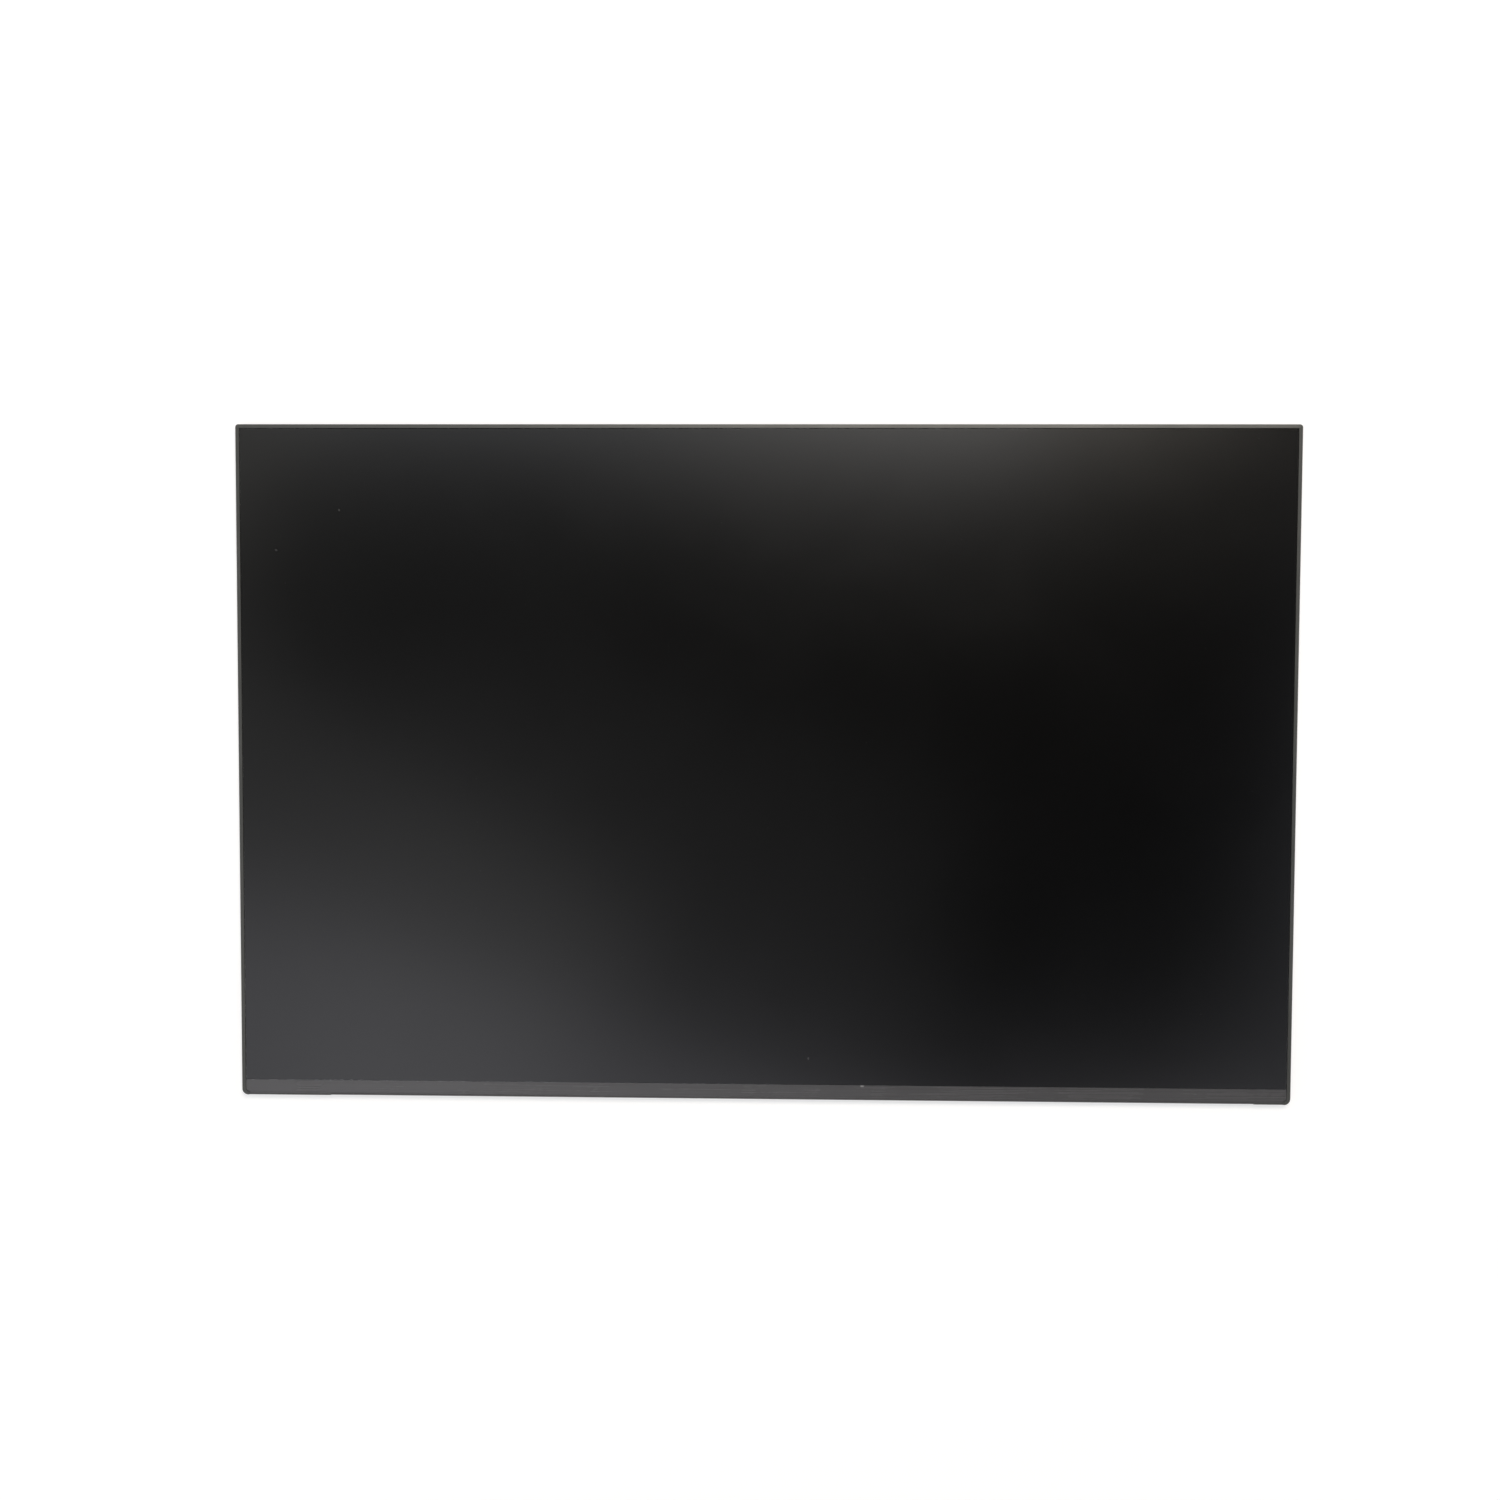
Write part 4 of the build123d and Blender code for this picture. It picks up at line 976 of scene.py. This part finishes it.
class SCREEN_PANEL_OT_board(bpy.types.Operator):
    """Finish the drive board and set its test pads"""

    bl_idname = "screen_panel.board"
    bl_label = "Board and test pads"
    bl_options = {"REGISTER", "UNDO"}

    def execute(self, context):
        detail = context.scene.panel_detail
        dress(board_finish(context.scene.panel_finish, detail), "circuit_board")
        pads = bmesh.new()
        for row in TEST_PAD_ROWS:
            for i in range(round(row.share * detail.test_pads)):
                place = Vector((row.x + TEST_PAD_STEP * i, row.y, 0)) * MM
                dome(pads, place, detail.test_pad_radius, TEST_PAD_RISE)
        gold = metal_finish("test_pad_gold", (0.80, 0.58, 0.25), 0.3)
        add_piece("test_pads", pads, gold)
        return {"FINISHED"}


class SCREEN_PANEL_OT_connector(bpy.types.Operator):
    """Finish the signal connector and solder its contacts and ears"""

    bl_idname = "screen_panel.connector"
    bl_label = "Signal connector"
    bl_options = {"REGISTER", "UNDO"}

    def execute(self, context):
        dress(metal_finish("connector_metal", (0.72, 0.70, 0.66), 0.28), "connector_shell")
        dress(metal_finish("contact_metal", (0.82, 0.60, 0.27), 0.22), "connector_contacts")
        ivory = moulded_finish("connector_plastic", (0.62, 0.58, 0.48), 0.5, edge=1.15)
        dress(ivory, "connector_insulator")
        solder = bmesh.new()
        for low, high in solids_of("connector_contacts"):
            foot = Vector(((low.x + high.x) / 2, low.y, 0))
            solder_ramp(solder, foot, -UP, *CONTACT_SOLDER)
        low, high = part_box("connector_shell")
        for x, outward in ((low.x, -RIGHT), (high.x, RIGHT)):
            for y in (low.y + EAR_INSET, high.y - EAR_INSET):
                solder_ramp(solder, Vector((x, y, 0)), outward, *EAR_SOLDER)
        add_piece("connector_solder", solder, solder_finish())
        return {"FINISHED"}


class SCREEN_PANEL_OT_chips(bpy.types.Operator):
    """Finish the chips and set their leads"""

    bl_idname = "screen_panel.chips"
    bl_label = "Chips and leads"
    bl_options = {"REGISTER", "UNDO"}

    leadless = ("timing_controller", "power_manager", "level_shifter", "gamma_buffer",
                "backlight_driver")

    def execute(self, context):
        detail = context.scene.panel_detail
        resin = moulded_finish("chip_resin", (0.022, 0.022, 0.023), 0.52, edge=2.4)
        dress(resin, *self.leadless, "memory_chip")
        leads = bmesh.new()
        for name in self.leadless:
            self.ring_of_leads(leads, *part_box(name), detail)
        add_piece("chip_leads", leads, solder_finish())
        wings = bmesh.new()
        low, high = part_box("memory_chip")
        for y, outward in ((low.y, -UP), (high.y, UP)):
            for i in range(MEMORY_LEADS):
                x = (low.x + high.x) / 2 + (i - (MEMORY_LEADS - 1) / 2) * MEMORY_PITCH
                gull_wing(wings, Vector((x, y, 0)), outward, **MEMORY_LEAD)
        plated = metal_finish("lead_metal", (0.68, 0.68, 0.67), 0.3)
        add_piece("memory_leads", wings, plated)
        return {"FINISHED"}

    def ring_of_leads(self, shape, low, high, detail):
        """Solder at each lead along the four sides of a leadless chip."""
        centre = (low + high) / 2
        half = (high.x - low.x) / 2
        count = int((2 * half - 2 * detail.lead_pitch) / detail.lead_pitch) + 1
        for outward in (RIGHT, UP, -RIGHT, -UP):
            sideways = Vector((-outward.y, outward.x, 0))
            for i in range(count):
                place = centre + outward * half + sideways * ((i - (count - 1) / 2) * detail.lead_pitch)
                solder_ramp(shape, place, outward, detail.lead_width, CHIP_SOLDER_REACH, CHIP_SOLDER_RISE)


class SCREEN_PANEL_OT_passives(bpy.types.Operator):
    """Finish the capacitors, resistors, inductors and diodes, and solder them"""

    bl_idname = "screen_panel.passives"
    bl_label = "Small parts and solder"
    bl_options = {"REGISTER", "UNDO"}

    def execute(self, context):
        detail = context.scene.panel_detail
        ceramic = moulded_finish("ceramic", (0.30, 0.19, 0.11), 0.5, grain=0.04 * MM, edge=1.25)
        dress(ceramic, "capacitor_bodies")
        dress(resistor_finish(), "resistor_bodies")
        tinned = metal_finish("tinned_end", (0.66, 0.66, 0.67), 0.3)
        dress(tinned, "capacitor_terminals", "resistor_terminals")
        ferrite = moulded_finish("ferrite", (0.062, 0.060, 0.058), 0.62, grain=0.12 * MM, edge=1.6)
        dress(ferrite, "power_inductors")
        dress(diode_finish(), "diodes")
        solder = bmesh.new()
        for kind in ("capacitor", "resistor"):
            bodies = [middle(box) for box in solids_of(f"{kind}_bodies")]
            for low, high in solids_of(f"{kind}_terminals"):
                self.solder_end(solder, low, high, bodies, detail)
        add_piece("small_part_solder", solder, solder_finish())
        tabs = bmesh.new()
        for low, high in [*solids_of("power_inductors"), *solids_of("diodes")]:
            joint = Solder(TAB_SOLDER_SHARE * (high.y - low.y), TAB_SOLDER_SPREAD * detail.solder_reach,
                           TAB_SOLDER_RISE)
            for x, outward in ((low.x, -RIGHT), (high.x, RIGHT)):
                solder_ramp(tabs, Vector((x, (low.y + high.y) / 2, 0)), outward, *joint)
        add_piece("power_part_solder", tabs, solder_finish())
        return {"FINISHED"}

    def solder_end(self, shape, low, high, bodies, detail):
        """Solder against the outer end of one terminal, away from the body that it belongs to."""
        centre = (low + high) / 2
        away = centre - min(bodies, key=lambda spot: (spot - centre).length)
        if abs(away.x) > abs(away.y):
            outward = RIGHT * math.copysign(1, away.x)
            reach = (high.x - low.x) / 2
            width = high.y - low.y
        else:
            outward = UP * math.copysign(1, away.y)
            reach = (high.y - low.y) / 2
            width = high.x - low.x
        solder_ramp(shape, centre + outward * reach, outward, width, detail.solder_reach,
                    END_SOLDER_SHARE * (high.z - low.z))


class SCREEN_PANEL_OT_stage(bpy.types.Operator):
    """Set the floor, the softboxes, the surroundings and the camera"""

    bl_idname = "screen_panel.stage"
    bl_label = "Stage"
    bl_options = {"REGISTER", "UNDO"}

    def execute(self, context):
        stage = context.scene.panel_stage
        self.lay_floor(stage)
        self.surround()
        for softbox in SOFTBOXES:
            self.hang(softbox, stage.lamp_level)
        self.set_camera(stage)
        context.scene.view_settings.view_transform = "Standard"
        return {"FINISHED"}

    def lay_floor(self, stage):
        shape = bmesh.new()
        bmesh.ops.create_circle(shape, cap_ends=True, segments=64, radius=stage.floor_radius)
        mesh = bpy.data.meshes.new("floor")
        shape.to_mesh(mesh)
        shape.free()
        mesh.materials.append(self.floor_finish())
        floor = bpy.data.objects.new("floor", mesh)
        bpy.context.scene.collection.objects.link(floor)

    def floor_finish(self):
        """Pale floor that reads as white, keeps the shadow and is clear from below."""
        material = bpy.data.materials.new("pale_floor")
        material.use_nodes = True
        graph = Graph(material.node_tree)
        graph.tree.nodes.remove(graph.tree.nodes["Principled BSDF"])
        paths = graph.add("ShaderNodeLightPath").outputs
        seen = graph.calc("ADD", paths["Is Camera Ray"], paths["Is Glossy Ray"])
        seen = graph.calc("ADD", seen, paths["Is Transmission Ray"], clamp=True)
        pale = graph.add("ShaderNodeBsdfDiffuse", {"Color": (*[FLOOR_GREY] * 3, 1.0)})
        shaded = graph.add("ShaderNodeBsdfDiffuse", {"Color": (*[SEEN_FLOOR_GREY] * 3, 1.0)})
        away = graph.vector("LENGTH", graph.add("ShaderNodeTexCoord").outputs["Object"])
        level = graph.ramp(away, GLOW_START, GLOW_END, GLOW_NEAR, GLOW_FAR)
        glow = graph.add("ShaderNodeEmission", {"Color": WHITE, "Strength": level})
        white = graph.add("ShaderNodeAddShader")
        graph.feed(white.inputs[0], shaded.outputs[0])
        graph.feed(white.inputs[1], glow.outputs[0])
        upper = graph.add("ShaderNodeMixShader", {"Fac": seen})
        graph.feed(upper.inputs[1], pale.outputs[0])
        graph.feed(upper.inputs[2], white.outputs[0])
        below = graph.add("ShaderNodeNewGeometry").outputs["Backfacing"]
        both = graph.add("ShaderNodeMixShader", {"Fac": below})
        graph.feed(both.inputs[1], upper.outputs[0])
        graph.feed(both.inputs[2], graph.add("ShaderNodeBsdfTransparent").outputs[0])
        graph.feed(graph.tree.nodes["Material Output"].inputs["Surface"], both.outputs[0])
        return material

    def surround(self):
        """Surroundings: white behind the panel and at the horizon, dim overhead, which the face mirrors."""
        world = bpy.data.worlds.new("surroundings")
        world.use_nodes = True
        bpy.context.scene.world = world
        graph = Graph(world.node_tree)
        lift = graph.split(graph.add("ShaderNodeTexCoord").outputs["Generated"])["Z"]
        level = graph.calc("MULTIPLY", graph.ramp(lift, *LOW_FALL), graph.ramp(lift, *HIGH_FALL))
        paths = graph.add("ShaderNodeLightPath").outputs
        plain = graph.calc("ADD", paths["Is Camera Ray"], paths["Is Transmission Ray"], clamp=True)
        strength = graph.calc("MAXIMUM", level, plain)
        background = graph.tree.nodes["Background"]
        background.inputs["Color"].default_value = WHITE
        graph.feed(background.inputs["Strength"], strength)

    def hang(self, softbox, level):
        """One softbox, turned towards the middle of the face."""
        turn = math.radians(softbox.azimuth)
        rise = math.radians(softbox.elevation)
        flat = math.cos(rise)
        towards = Vector((flat * math.cos(turn), flat * math.sin(turn), math.sin(rise)))
        light = bpy.data.lights.new(softbox.name, "AREA")
        light.shape = "RECTANGLE"
        light.size = softbox.width
        light.size_y = softbox.height
        light.energy = WATTS_PER_LEVEL * softbox.width * softbox.height * softbox.level * level
        light.color = softbox.tint
        lamp = bpy.data.objects.new(softbox.name, light)
        level_side = Vector((0, 0, 1)).cross(-towards).normalized()
        side = Quaternion(-towards, math.radians(softbox.spin)) @ level_side
        axes = Matrix((side, towards.cross(side), towards)).transposed()
        place = CENTRE + towards * SOFTBOX_DISTANCE
        lamp.matrix_world = Matrix.LocRotScale(place, axes.to_quaternion(), None)
        lamp.visible_camera = False
        bpy.context.scene.collection.objects.link(lamp)

    def set_camera(self, stage):
        view = bpy.data.cameras.new("camera")
        view.sensor_width = 36.0
        view.lens = stage.lens
        view.clip_start = 0.01
        camera = bpy.data.objects.new("camera", view)
        camera.location = stage.camera_place
        camera.rotation_euler = stage.camera_turn
        bpy.context.scene.collection.objects.link(camera)
        bpy.context.scene.camera = camera


SETTINGS = {"panel_finish": FinishSettings, "panel_detail": DetailSettings, "panel_stage": StageSettings}
OPERATORS = (
    SCREEN_PANEL_OT_face,
    SCREEN_PANEL_OT_backlight,
    SCREEN_PANEL_OT_frame,
    SCREEN_PANEL_OT_tape,
    SCREEN_PANEL_OT_cover,
    SCREEN_PANEL_OT_films,
    SCREEN_PANEL_OT_board,
    SCREEN_PANEL_OT_connector,
    SCREEN_PANEL_OT_chips,
    SCREEN_PANEL_OT_passives,
    SCREEN_PANEL_OT_stage,
)


class SCREEN_PANEL_PT_sidebar(bpy.types.Panel):
    """Settings and operators of the screen panel."""

    bl_idname = "SCREEN_PANEL_PT_sidebar"
    bl_label = "Screen panel"
    bl_space_type = "VIEW_3D"
    bl_region_type = "UI"
    bl_category = "Screen panel"

    def draw(self, context):
        for name, kind in SETTINGS.items():
            box = self.layout.box()
            for key in kind.__annotations__:
                box.prop(getattr(context.scene, name), key)
        for operator in OPERATORS:
            self.layout.operator(operator.bl_idname)


def register():
    for kind in (*SETTINGS.values(), *OPERATORS, SCREEN_PANEL_PT_sidebar):
        bpy.utils.register_class(kind)
    for name, kind in SETTINGS.items():
        setattr(bpy.types.Scene, name, PointerProperty(type=kind))


def unregister():
    for name in SETTINGS:
        delattr(bpy.types.Scene, name)
    for kind in reversed((*SETTINGS.values(), *OPERATORS, SCREEN_PANEL_PT_sidebar)):
        bpy.utils.unregister_class(kind)


def main():
    register()
    for operator in OPERATORS:
        family, name = operator.bl_idname.split(".")
        getattr(getattr(bpy.ops, family), name)()


if __name__ == "__main__":
    main()
